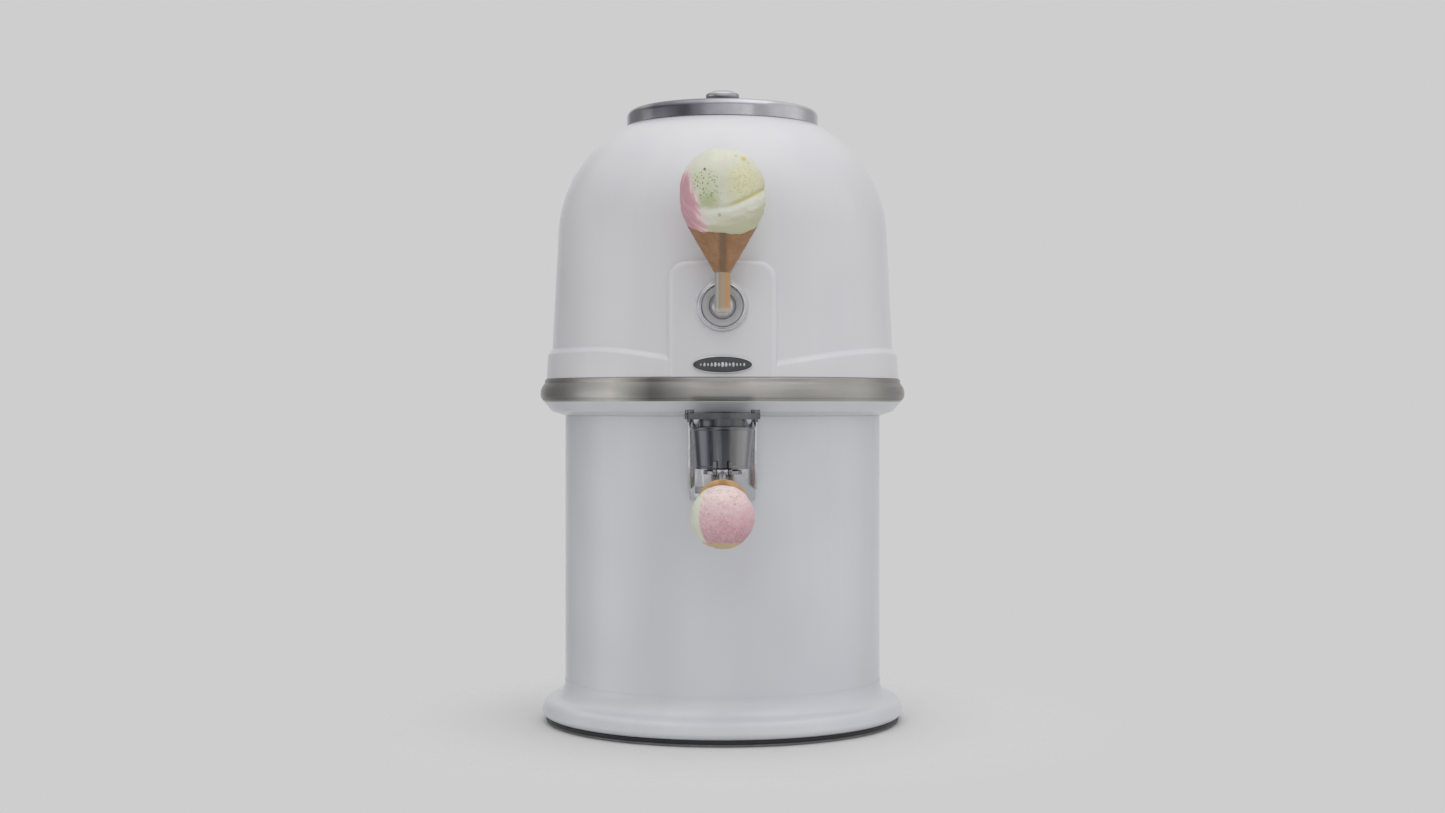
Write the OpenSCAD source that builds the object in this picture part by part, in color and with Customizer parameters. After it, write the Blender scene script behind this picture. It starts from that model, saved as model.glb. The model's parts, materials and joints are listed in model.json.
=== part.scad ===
/* [Column and base] */
// Radius of the white column
column_r = 122.1; // [118:0.1:123]
// Height at which the column enters the waist collar
column_top = 236; // [232:1:236]
// Radius of the base bead at its widest
base_r = 139.7; // [136:0.1:144]
// Thickness of the column's sheet
column_wall = 2; // [1.5:0.5:3]

/* [Dome] */
// Thickness of the dome's wall
dome_wall = 3; // [2:0.5:4]
// Radius of the round shoulder
shoulder_r = 97.3; // [97:0.1:98]
// Half the width of the arched pad on the dome's front
pad_half_w = 39.2; // [34:0.1:42]
// Height of the top of the arched pad
pad_top = 347.5; // [342:0.5:356]

/* [Lid] */
// Radius of the filler lid
lid_r = 74.4; // [74:0.1:76]
// Radius of the lid's knob
knob_r = 13; // [10:0.5:16]

/* [Draw handle] */
// Radius of the scoop on the draw handle
scoop_r = 30; // [26:0.5:31]
// Distance from the machine's axis to the handle's stem
stem_out = 162; // [161:0.5:166]
// Height of the handle's pivot
pivot_z = 314.5; // [314:0.1:315]

/* [Spout] */
// Distance from the machine's axis to the nozzle's axis
spout_out = 148; // [148:0.5:150]
// Radius of the spout cup at its top
cup_top_r = 21.5; // [21:0.5:24]
// Radius of the spout cup at its mouth
cup_mouth_r = 19; // [18:0.5:20]
// Radius of the scoop on the gate handle
gate_scoop_r = 21.7; // [18:0.1:23]
// Angle of the gate handle below the horizontal
gate_droop = 28; // [20:1:35]

/* [Hidden] */
$fn = 96;

// Running clearance on a radius, the snug fit of pieces fixed on one another, and the gap between
// pieces of one body that only sit together.
running = 0.05;
fixed_fit = 0.02;
seat_gap = 0.1;

// Heights of the stacked rings.
foot_h = 2;
pan_floor = 2;
pan_top = 5;
skirt_top = 33;
collar_low = 234;
band_low = 246;
deck_low = 248;
deck_top = 252;
band_top = 263.5;
dome_edge = 264;

// The freezing cylinder lies along Y, its mouth to the front.
barrel_z = 313;
barrel_r = 40;
barrel_wall = 2;
barrel_front = -98;
barrel_rear = 30;
coil_tube_r = 3;
head_front = -108;
head_back = -98;
head_r = 50;

// The valve bore, the draw lever's pivot and its arm.
valve_y = -107;
valve_r = 7;
pivot_y = -134;
tongue_half = 4;
arm_half = 2.5;
port_z = 280;
port_r = 5;
plunger_low = 273;
plunger_top = 326;
block_front = -118;
block_top = 364;
cap_low = 346;
lever_hole_r = 13;

// The spout's passage and mouth.
passage_z = 222;
passage_r = 6;
stub_r = 8;
stub_end = -112;
cup_top = 228.5;
cup_mouth = 199;
gate_y = -spout_out - 23;
gate_z = 196;
gate_pin_r = 1.5;

// The drive train's axis heights, and the belt's plane.
motor_z = 190;
belt_lo = 58.5;
belt_hi = 69.5;
driven_r = 34;
drive_r = driven_r / 3;
shaft_r = 7;
motor_shaft_r = 4;
bearing_r = 14;

// ---- shapes used by several sub-parts ----

module block(x0, x1, y0, y1, z0, z1)
    translate([x0, y0, z0]) cube([x1 - x0, y1 - y0, z1 - z0]);

module z_cyl(r, z0, z1, x = 0, y = 0)
    translate([x, y, z0]) cylinder(r = r, h = z1 - z0);

module y_cyl(r, y0, y1, x = 0, z = 0)
    translate([x, y1, z]) rotate([90, 0, 0]) cylinder(r = r, h = y1 - y0);

module x_cyl(r, x0, x1, y = 0, z = 0)
    translate([x0, y, z]) rotate([0, 90, 0]) cylinder(r = r, h = x1 - x0);

module z_ring(r_in, r_out, z0, z1)
    rotate_extrude() translate([r_in, z0]) square([r_out - r_in, z1 - z0]);

module y_ring(r_in, r_out, y0, y1, x = 0, z = 0)
    translate([x, y1, z]) rotate([90, 0, 0]) rotate_extrude() translate([r_in, 0]) square([r_out - r_in, y1 - y0]);

// A prism along Y whose outline is drawn in X and Z.
module y_prism(y0, y1)
    translate([0, y1, 0]) rotate([90, 0, 0]) linear_extrude(y1 - y0) children();

// Points on an arc, from angle a0 to a1 in n steps.
function arc(c, r, a0, a1, n) =
    [for (i = [0:n]) let (a = a0 + (a1 - a0) * i / n) [c[0] + r * cos(a), c[1] + r * sin(a)]];

function reversed(list) = [for (i = [len(list) - 1:-1:0]) list[i]];

// ---- base, column and waist ----

module foot_ring()
    color("dimgray") z_ring(112, 136.5, 0, foot_h);

module base_pan() {
    vent_len = 44;
    vent_w = 4;
    color("black") difference() {
        union() {
            z_cyl(137, pan_floor, pan_top);
            z_ring(column_r - column_wall - 3, column_r - column_wall - seat_gap, pan_top, 16);
        }
        for (i = [-3:3])
            block(60 + i * 9 - vent_w / 2, 60 + i * 9 + vent_w / 2, -vent_len / 2, vent_len / 2, 0, pan_top + 1);
    }
}

module base_skirt() {
    bead_z = 9;
    bead_r = 4;
    outline = concat(
        [[column_r + seat_gap, pan_top], [base_r - 0.9, pan_top]],
        arc([base_r - bead_r, bead_z], bead_r, -40, 20, 6),
        arc([base_r - 8.3, 10.9], 7.7, 15, 72, 8),
        arc([column_r + 14.3, 31.4], 14, 233, 180, 8),
        [[column_r + 0.25, skirt_top], [column_r + seat_gap, skirt_top]]
    );
    color("white") rotate_extrude() polygon(outline);
}

module column_shell() {
    panel_hole_half = 50;
    power_hole_half = 34.3;
    color("white") difference() {
        z_ring(column_r - column_wall, column_r, pan_top, column_top);
        y_cyl(stub_r + 0.3, -130, -110, 0, passage_z);
        block(-panel_hole_half, panel_hole_half, 90, 130, 82, 188);
        block(-power_hole_half, power_hole_half, 90, 130, 37.7, 64.3);
        panel_bolts(1.75, column_r - 5, column_r + 5);
    }
}

module waist_collar() {
    outline = concat(
        [[column_r + seat_gap, collar_low]],
        [[column_r + 0.5, collar_low]],
        arc([column_r + 7.4, 233.2], 6.6, 170, 92, 7),
        [[133, 240.5], [138.6, band_low - 0.3], [138.6, band_low]],
        [[135.9, band_low], [135.9, deck_low], [118, deck_low], [118, column_top + 0.3]],
        [[column_r + seat_gap, column_top + 0.3]]
    );
    color("white") rotate_extrude() polygon(outline);
}

module trim_band() {
    outline = concat(
        [[136, band_low], [139, band_low], [140.1, band_low + 1.6]],
        arc([130.4, 252.9], 11, -22, 42, 10),
        [[137.7, 261.4], [138, 262], [138, 263.2], [137.4, band_top + 0.4], [136, band_top + 0.4]]
    );
    color("silver") rotate_extrude() polygon(outline);
}

module deck_plate() {
    color("lightgray") difference() {
        z_cyl(135.8, deck_low, deck_top);
        z_cyl(10.8, deck_low - 1, deck_top + 1, 0, valve_y);
        block(-29, 29, 54, 74, deck_low - 1, deck_top + 1);
        for (s = [-1, 1])
            z_cyl(5, deck_low - 1, deck_top + 1, s * 70, 10);
    }
}

// ---- dome ----

// The dome's surface, moved inwards by t.
function dome_curve(t) = concat(
    [[136.8 - t, dome_edge], [136.3 - t, 272]],
    arc([129.7 - t, 279.6], 5.9, 12, 62, 6),
    [[132.25 - t, 286.4], [132.05 - t, 288.5]],
    arc([30.3, 373.3], shoulder_r - t, 2.8, 62.5, 28)
);

module dome_housing() {
    neck_r = 71.8;
    neck_in = 69;
    neck_top = 466;
    outer = dome_curve(0);
    inner = dome_curve(dome_wall);
    crown = outer[len(outer) - 1][1];
    crown_in = inner[len(inner) - 1][1];
    outline = concat(
        [[135.8, deck_top], [135.8, dome_edge]], outer,
        [[neck_r, crown], [neck_r, neck_top], [neck_in, neck_top], [neck_in, crown_in]],
        reversed(inner), [[132.8, deck_top]]
    );
    color("white") difference() {
        rotate_extrude() polygon(outline);
        y_cyl(lever_hole_r, -150, -110, 0, pivot_z);
    }
}

pad_r = 137.8;
boss_seat_y = -138.3;

module arch_outline(half_w, z_low, z_top, corner) {
    translate([-half_w, z_low]) square([2 * half_w, z_top - z_low - corner]);
    translate([-half_w + corner, z_low]) square([2 * (half_w - corner), z_top - z_low]);
    for (s = [-1, 1])
        translate([s * (half_w - corner), z_top - corner]) circle(r = corner);
}

module front_pad() {
    cut_z = 358;
    curve = dome_curve(-seat_gap);
    low = [for (p = curve) if (p[1] < cut_z) p];
    a = low[len(low) - 1];
    b = curve[len(low)];
    wall_r = a[0] + (b[0] - a[0]) * (cut_z - a[1]) / (b[1] - a[1]);
    outline = concat(low, [[wall_r, cut_z], [pad_r, cut_z], [pad_r, dome_edge]]);
    color("white") difference() {
        union() {
            intersection() {
                rotate_extrude() polygon(outline);
                y_prism(-150, -90) arch_outline(pad_half_w, dome_edge + 0.2, pad_top, 14);
            }
            y_cyl(19.8, boss_seat_y, -134, 0, pivot_z);
        }
        y_cyl(lever_hole_r, -150, -110, 0, pivot_z);
    }
}

badge_z = 272.8;
badge_half_w = 21.7;
badge_half_h = 6.55;

badge_end_r = 2.4;

// An oval of four arcs: two flat ones that run smoothly into a small one at each end.
module oval(half_w, half_h, end_r) {
    end_x = half_w - end_r;
    rise = half_h - end_r;
    drop = (end_x * end_x - rise * rise) / (2 * rise);
    flat_r = drop + half_h;
    touch_x = end_x * flat_r / (flat_r - end_r);
    intersection() {
        translate([0, -drop]) circle(r = flat_r);
        translate([0, drop]) circle(r = flat_r);
        square([2 * touch_x, 4 * half_h], center = true);
    }
    for (side = [-1, 1])
        translate([side * end_x, 0]) circle(r = end_r);
}

module badge_layer(r_in, r_out, inset)
    intersection() {
        z_ring(r_in, r_out, badge_z - 20, badge_z + 20);
        y_prism(-150, -100) translate([0, badge_z])
            oval(badge_half_w - inset, badge_half_h - inset, badge_end_r - inset);
    }

module badge_rim()
    color("silver") difference() {
        badge_layer(pad_r + seat_gap, pad_r + 1.9, 0);
        badge_layer(pad_r - 1, pad_r + 3, 0.9);
    }

module badge_plate()
    color("dimgray") badge_layer(pad_r + seat_gap, pad_r + 1.2, 0.95);

// ---- hopper and lid ----

// The feed tube under the hopper.
feed_r = 5;
feed_y = 14;

module hopper() {
    r_in = 64;
    r_out = 65.5;
    floor_z = 376;
    rim_z = 466;
    sheet = 1.5;
    corner_in = 4;
    corner_r = r_in - corner_in;
    corner_z = floor_z + sheet + corner_in;
    outline = concat(
        [[0, floor_z], [corner_r, floor_z]],
        arc([corner_r, corner_z], corner_in + sheet, -90, 0, 8),
        [[r_out, rim_z + 0.1], [71.4, rim_z + 0.1], [71.4, rim_z + sheet], [r_in, rim_z + sheet]],
        arc([corner_r, corner_z], corner_in, 0, -90, 8),
        [[0, floor_z + sheet]]
    );
    color("lightgray") difference() {
        union() {
            rotate_extrude() polygon(outline);
            z_cyl(feed_r + 1.5, barrel_z + barrel_r + barrel_wall, floor_z + 1, 0, feed_y);
        }
        z_cyl(feed_r, barrel_z + barrel_r, floor_z + 3, 0, feed_y);
    }
}

module lid_shell() {
    skirt_low = 460;
    roof = 473;
    wall = 2;
    edge = 5;
    outline = concat(
        [[lid_r - wall, skirt_low], [lid_r, skirt_low]],
        arc([lid_r - edge, roof - edge], edge, 0, 80, 8),
        [[52, roof + 0.6], [30, roof + 1], [4.2, roof + 1.1], [4.2, roof - 1.2]],
        [[68.6, roof - 1.8], [70, roof - 2.2]],
        arc([lid_r - edge, roof - edge], edge - wall, 70, 0, 6)
    );
    color("silver") rotate_extrude() polygon(outline);
}

module lid_seal()
    color("gainsboro") z_ring(66.5, 70, 467.8, 470.6);

module lid_knob() {
    foot = 474.15;
    head_low = 482.5;
    top = 489;
    stud_low = 466;
    outline = concat(
        [[0, stud_low], [4, stud_low], [4, foot], [8, foot], [6.4, foot + 1.6], [5.6, foot + 4],
         [6.6, head_low - 1.4], [9.5, head_low]],
        arc([knob_r - 2.2, head_low + 2.4], 2.2, -70, 60, 8),
        [[7.5, top - 0.5], [3.6, top], [0, top]]
    );
    color("silver") rotate_extrude() polygon(outline);
}

// ---- freezing cylinder and its cooling ----

module freezing_cylinder()
    color("silver") difference() {
        union() {
            y_cyl(barrel_r + barrel_wall, barrel_front, barrel_rear + 4, 0, barrel_z);
            y_cyl(head_r, barrel_front, barrel_front + 4, 0, barrel_z);
        }
        y_cyl(barrel_r, barrel_front - 1, barrel_rear, 0, barrel_z);
        y_cyl(shaft_r + 0.6, barrel_rear - 1, barrel_rear + 5, 0, barrel_z);
        z_cyl(feed_r, barrel_z + 20, barrel_z + 50, 0, feed_y);
        head_bolts(2.55, barrel_front - 1, barrel_front + 5);
    }

module head_bolts(r, y0, y1)
    for (a = [45:90:315])
        y_cyl(r, y0, y1, 46 * cos(a), barrel_z + 46 * sin(a));

module evaporator_coil() {
    turn_r = barrel_r + barrel_wall + coil_tube_r + 0.2;
    first = -84;
    pitch = 9;
    turns = 10;
    color("peru") union() {
        for (i = [0:turns - 1])
            translate([0, first + i * pitch, barrel_z]) rotate([90, 0, 0])
                rotate_extrude() translate([turn_r, 0]) circle(r = coil_tube_r);
        y_cyl(1.6, first, first + (turns - 1) * pitch, turn_r * cos(-100), barrel_z + turn_r * sin(-100));
    }
}

jacket_r = 56;

module insulation_jacket()
    color("wheat") difference() {
        y_cyl(jacket_r, -92, barrel_rear, 0, barrel_z);
        y_cyl(barrel_r + barrel_wall + 2 * coil_tube_r + 0.4, -93, barrel_rear + 1, 0, barrel_z);
        z_cyl(feed_r + 1.8, barrel_z + 20, barrel_z + 60, 0, feed_y);
    }

// Two saddles under the cylinder and the post that holds the rear bearing.
module cylinder_stand()
    color("lightgray") union() {
        difference() {
            for (y = [-82, 16])
                block(-34, 34, y, y + 5, deck_top, barrel_z - 26);
            y_cyl(jacket_r + seat_gap, -95, 40, 0, barrel_z);
        }
        block(-34, 34, -82, 53, deck_top, deck_top + 2);
        difference() {
            union() {
                block(-16, 16, 44, 52, deck_top, barrel_z);
                y_cyl(20, 44, 52, 0, barrel_z);
            }
            y_cyl(bearing_r, 43, 53, 0, barrel_z);
        }
    }

module front_head()
    color("whitesmoke") difference() {
        union() {
            y_cyl(head_r, head_front, head_back, 0, barrel_z);
            block(-15, 15, block_front, head_back - 1, 262, block_top);
            z_cyl(10.5, 209, 263, 0, valve_y);
        }
        z_cyl(valve_r, passage_z - passage_r, block_top + 1, 0, valve_y);
        y_cyl(port_r, valve_y, head_back + 1, 0, port_z);
        y_cyl(stub_r + running, -120, stub_end, 0, passage_z);
        y_cyl(passage_r, stub_end - 1, valve_y, 0, passage_z);
        block(-3.5, 3.5, block_front - 1, valve_y, pivot_z - 8, pivot_z + 20);
        head_bolts(2.55, head_front - 1, head_back + 1);
    }

module head_screws()
    color("silver") union() {
        head_bolts(2.5, head_front, barrel_front + 3.5);
        difference() {
            head_bolts(4.6, head_front - 3.5, head_front);
            head_bolts(1.8, head_front - 4, head_front - 1.5);
        }
    }

module bore_cap()
    color("whitesmoke") translate([0, valve_y, 0]) union() {
        z_cyl(10, block_top, block_top + 3);
        z_cyl(valve_r - seat_gap, cap_low, block_top);
    }

// ---- dasher and drive ----

module dasher_auger() {
    flight_r = 32;
    front = -92;
    rear = 26;
    color("gainsboro") difference() {
        union() {
            y_cyl(9.5, front, rear, 0, barrel_z);
            translate([0, rear - 6, barrel_z]) rotate([90, 0, 0])
                linear_extrude(height = rear - front - 12, twist = 540, slices = 42, $fn = 16, convexity = 4)
                    square([2 * flight_r, 3.5], center = true);
            for (y = [front, rear - 5])
                block(-3, 3, y, y + 5, barrel_z - 34, barrel_z + 34);
        }
        y_cyl(shaft_r, front - 1, rear + 1, 0, barrel_z);
    }
}

module scraper_blades()
    color("white") for (s = [-1, 1])
        translate([0, 0, barrel_z + s * 36.7]) block(-3, 3, -92, 26, -2.7, 2.7);

module dasher_shaft()
    color("silver") y_cyl(shaft_r, -93, 74, 0, barrel_z);

module rear_bearing()
    color("silver") y_ring(shaft_r + running, bearing_r, 44, 52, 0, barrel_z);

module pulley(r, bore, flange, z) {
    y_ring(bore, r, belt_lo - 1.5, belt_hi + 1.5, 0, z);
    y_ring(bore, r + flange, belt_lo - 3, belt_lo - 1.5, 0, z);
    y_ring(bore, r + flange, belt_hi + 1.5, belt_hi + 3, 0, z);
}

module driven_pulley()
    color("silver") difference() {
        pulley(driven_r, shaft_r + fixed_fit, 3.4, barrel_z);
        for (a = [0:72:288])
            y_cyl(7, belt_lo - 5, belt_hi + 5, 20.5 * cos(a), barrel_z + 20.5 * sin(a));
    }

module drive_pulley()
    color("silver") pulley(drive_r, motor_shaft_r + fixed_fit, 3.4, motor_z);

module belt_loop(extra)
    hull() {
        translate([0, barrel_z]) circle(r = driven_r + extra);
        translate([0, motor_z]) circle(r = drive_r + extra);
    }

module drive_belt()
    color("black") y_prism(belt_lo, belt_hi) difference() {
        belt_loop(2.4);
        belt_loop(0.4);
    }

motor_face = 42;

module motor_shaft()
    color("silver") y_cyl(motor_shaft_r, motor_face - 12, belt_hi + 4, 0, motor_z);

module gear_motor()
    color("darkslategray") difference() {
        union() {
            y_cyl(30, -18, 20, 0, motor_z);
            y_cyl(26, 20, motor_face, 0, motor_z);
            y_cyl(9, motor_face, motor_face + 5, 0, motor_z);
            block(-14, 14, -10, 12, motor_z + 26, motor_z + 40);
        }
        y_cyl(motor_shaft_r + running, motor_face - 14, motor_face + 6, 0, motor_z);
    }

module motor_bracket()
    color("lightgray") difference() {
        union() {
            block(-34, 34, motor_face, motor_face + 3, 158, deck_low);
            block(-34, 34, 14, motor_face + 3, deck_low - 3, deck_low);
        }
        y_cyl(9 + seat_gap, motor_face - 1, motor_face + 4, 0, motor_z);
        for (x = [-1, 1], z = [-1, 1])
            y_cyl(2, motor_face - 1, motor_face + 4, x * 28, motor_z + z * 22);
    }

// ---- refrigeration in the column ----

compressor_x = -38;
compressor_y = -32;

module compressor() {
    outline = concat(
        [[0, 12], [38, 12]],
        arc([34, 24], 8, -60, 0, 5),
        [[42, 58], [43.5, 59], [43.5, 62], [42, 63]],
        arc([20, 92], 22, 0, 80, 9),
        [[0, 115.5]]
    );
    color("dimgray") translate([compressor_x, compressor_y, 0]) union() {
        rotate_extrude() polygon(outline);
        for (a = [45:90:315])
            rotate([0, 0, a]) difference() {
                block(30, 56, -7, 7, 10, 12.5);
                z_cyl(3.1, 9, 13, 50, 0);
            }
        z_cyl(3, 110, 128, 8, 8);
    }
}

module compressor_grommets()
    color("black") translate([compressor_x, compressor_y, 0]) for (a = [45:90:315])
        rotate([0, 0, a]) translate([50, 0, 0]) union() {
            z_cyl(6, pan_top, 10);
            z_cyl(3, 10, 13.5);
            z_cyl(5, 12.6, 14.5);
        }

module condenser() {
    half_w = 54;
    y_front = 80;
    y_rear = 100;
    z_low = 34;
    z_high = 122;
    color("silver") union() {
        for (i = [0:17])
            block(-half_w + i * 6.3, -half_w + i * 6.3 + 0.9, y_front, y_rear, z_low, z_high);
        for (z = [46:16:110], y = [85.5, 94.5])
            x_cyl(3, -half_w - 4, half_w + 4, y, z);
        for (s = [-1, 1])
            block(s * 57 - 1, s * 57 + 1, y_front, y_rear, pan_top, z_high);
    }
}

fan_z = 78;

module fan_motor()
    color("dimgray") difference() {
        union() {
            y_cyl(15, 34, 58, 0, fan_z);
            block(-8, 8, 38, 54, pan_top, fan_z - 8);
            block(-22, 22, 36, 56, pan_top, pan_top + 3);
        }
        y_cyl(2.5 + running, 50, 59, 0, fan_z);
    }

module fan_blades() {
    tip_r = 42;
    color("black") translate([0, 0, fan_z]) union() {
        y_cyl(2.5, 52, 62);
        y_cyl(10, 60, 72);
        for (a = [0:72:288])
            rotate([0, a, 0]) translate([0, 66, 0]) rotate([0, 0, 32]) intersection() {
                translate([-13, -1, 6]) cube([26, 2, tip_r - 6]);
                translate([0, 0, tip_r / 2 + 3]) rotate([90, 0, 0]) cylinder(r = 21, h = 6, center = true);
            }
    }
}

module control_board()
    color("seagreen") translate([92, 0, 0]) union() {
        block(0, 1.6, -34, 34, 60, 140);
        for (z = [66, 134], y = [-29, 29])
            x_cyl(3, 1.6, 10, y, z);
        block(8, 10, -36, 36, pan_top, 142);
        block(-12, 0, -24, 2, 70, 96);
        for (y = [12, 24])
            x_cyl(5, -16, 0, y, 78);
        block(-5, 0, -20, 24, 112, 120);
    }

// ---- draw handle ----

module boss_flange()
    color("silver") translate([0, boss_seat_y, pivot_z]) rotate([90, 0, 0])
        rotate_extrude() polygon(concat([[lever_hole_r, 0], [18.4, 0]], arc([17, 1.6], 1.4, 0, 90, 5),
                                        [[lever_hole_r, 3]]));

module boss_cup()
    color("silver") translate([0, boss_seat_y, pivot_z]) rotate([90, 0, 0])
        rotate_extrude() polygon(concat([[13.3, 3], [16.6, 3]], arc([15.2, 6.2], 1.4, 0, 180, 8),
                                        [[13.6, 4.4]]));

module lever_clevis() {
    ear_in = tongue_half + 0.4;
    ear_out = ear_in + 4;
    color("silver") difference() {
        union() {
            for (s = [-1, 1])
                translate([s * (ear_in + ear_out) / 2, 0, 0]) union() {
                    block(-2, 2, pivot_y, block_front - 2, pivot_z - 5.5, pivot_z + 5.5);
                    x_cyl(5.5, -2, 2, pivot_y, pivot_z);
                }
            block(-13, 13, block_front - 3, block_front, pivot_z - 14, pivot_z + 26);
        }
        block(-ear_in, ear_in, block_front - 4, block_front + 1, pivot_z - 8, pivot_z + 20);
        x_cyl(2.5 + fixed_fit, -20, 20, pivot_y, pivot_z);
    }
}

module lever_pin()
    color("silver") x_cyl(2.5, -(tongue_half + 4.4), tongue_half + 4.4, pivot_y, pivot_z);

grip_scale = scoop_r / 30;
grip_foot = pivot_z + 22.2;

module draw_lever() {
    stem_r = 5.5;
    stem_low = pivot_z - 0.5;
    color("silver") difference() {
        union() {
            z_cyl(stem_r, stem_low, grip_foot, 0, -stem_out);
            translate([0, -stem_out, stem_low]) sphere(r = stem_r);
            z_cyl(2.5, grip_foot, grip_foot + 30 * grip_scale, 0, -stem_out);
            block(-tongue_half, tongue_half, -stem_out, pivot_y + 7, pivot_z - tongue_half, pivot_z + tongue_half);
            block(-arm_half, arm_half, pivot_y, valve_y, pivot_z - arm_half, pivot_z + arm_half);
            x_cyl(arm_half, -arm_half, arm_half, valve_y, pivot_z);
        }
        x_cyl(2.5 + running, -20, 20, pivot_y, pivot_z);
    }
}

// The grips' shapes stand on their foot, for a scoop radius of 30, and are scaled from there.
grip_foot_r = 5.7;
grip_join = 28.3;
grip_join_r = 22.1;
grip_centre = 57.3;
grip_ball_r = 30;
grip_drop = grip_centre - grip_join;
grip_touch = acos(grip_ball_r / norm([grip_join_r, grip_drop])) - atan2(grip_drop, grip_join_r);

module cone_shape(k, bore)
    difference() {
        cylinder(r1 = grip_foot_r * k, r2 = grip_join_r * k, h = grip_join * k);
        translate([0, 0, -1]) cylinder(r = bore, h = grip_join * k + 2);
    }

// The ball runs down on a tangent to the cone's edge.
module scoop_shape(k, bore, depth) {
    r = grip_ball_r * k;
    difference() {
        union() {
            translate([0, 0, grip_centre * k]) sphere(r = r);
            translate([0, 0, grip_join * k])
                cylinder(r1 = grip_join_r * k, r2 = r * cos(grip_touch), h = grip_drop * k + r * sin(grip_touch));
        }
        translate([-r, -r, -r]) cube([2 * r, 2 * r, r + grip_join * k]);
        cylinder(r = bore, h = depth);
    }
}

module cone_grip()
    color("peru") translate([0, -stem_out, grip_foot]) cone_shape(grip_scale, 2.55);

module scoop_grip()
    color("palegoldenrod") translate([0, -stem_out, grip_foot])
        scoop_shape(grip_scale, 2.55, 30.1 * grip_scale);

module draw_plunger() {
    window_up = 3.4;
    window_down = 5.6;
    groove = 0.8;
    color("whitesmoke") difference() {
        z_cyl(valve_r - running, plunger_low, plunger_top, 0, valve_y);
        block(-arm_half - 0.8, arm_half + 0.8, valve_y - 8, valve_y + 4, pivot_z - window_down, pivot_z + window_up);
        for (z = [290, 302])
            translate([0, valve_y, 0]) z_ring(valve_r - running - groove, valve_r + 1, z, z + 2);
    }
}

// A wire wound round Z, as one closed sweep.
module wound_wire(coil_r, wire_r, z0, z1, turns) {
    sides = 6;
    per_turn = 12;
    rings = turns * per_turn;
    points = [for (i = [0:rings], j = [0:sides - 1])
        let (t = 360 * i / per_turn, f = 360 * j / sides, r = coil_r + wire_r * cos(f))
        [r * cos(t), r * sin(t), z0 + (z1 - z0) * i / rings + wire_r * sin(f)]];
    side_faces = [for (i = [0:rings - 1], j = [0:sides - 1])
        let (a = i * sides + j, b = i * sides + (j + 1) % sides) each [[a, a + sides, b], [b, a + sides, b + sides]]];
    ends = [[for (j = [0:sides - 1]) j], [for (j = [sides - 1:-1:0]) rings * sides + j]];
    polyhedron(points = points, faces = concat(side_faces, ends), convexity = 6);
}

module return_spring()
    color("gray") translate([0, valve_y, 0])
        wound_wire(5.6, 0.6, plunger_top + 0.7, cap_low - 0.6, 4);

// ---- spout ----

bracket_half = 23.5;
bracket_top = 233.6;

module spout_bracket() {
    low = 176;
    cheek_low = 184;
    color("silver") difference() {
        union() {
            intersection() {
                z_ring(column_r + seat_gap, column_r + 3, low, bracket_top);
                block(-bracket_half, bracket_half, -140, -100, low - 1, bracket_top + 1);
            }
            for (s = [-1, 1])
                block(s * bracket_half - 1, s * bracket_half + 1, -134, -121.8, cheek_low, bracket_top);
        }
        y_cyl(stub_r + seat_gap, -140, -110, 0, passage_z);
        block(-19.7, -13.7, -140, -100, 180.5, 185.5);
    }
}

flange_low = 234;
flange_top = 238.2;
screw_x = 23.4;

module spout_body() {
    neck_r = 17;
    outlet_low = 206;
    outlet_r = 9;
    color("dimgray") difference() {
        union() {
            z_cyl(neck_r, cup_top, flange_low, 0, -spout_out);
            block(-screw_x, screw_x, -spout_out - 7, -spout_out + 9, flange_low, flange_top);
            for (s = [-1, 1])
                z_cyl(3.4, flange_low, flange_top, s * screw_x, -spout_out + 1);
            z_cyl(outlet_r, outlet_low, cup_top, 0, -spout_out);
            y_cyl(stub_r, -spout_out, stub_end, 0, passage_z);
            block(-6, 6, -spout_out + 9, -column_r - 3.2, cup_top, flange_low);
        }
        z_cyl(passage_r, outlet_low - 1, passage_z + passage_r, 0, -spout_out);
        y_cyl(passage_r, -spout_out, stub_end + 1, 0, passage_z);
        for (s = [-1, 1])
            z_cyl(1.85, flange_low - 1, flange_top + 1, s * screw_x, -spout_out + 1);
    }
}

module thumb_screws()
    color("silver") for (s = [-1, 1])
        translate([s * screw_x, -spout_out + 1, 0]) union() {
            z_cyl(3.2, flange_top, flange_top + 2.6);
            z_cyl(1.8, flange_low - 2, flange_top);
        }

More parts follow.
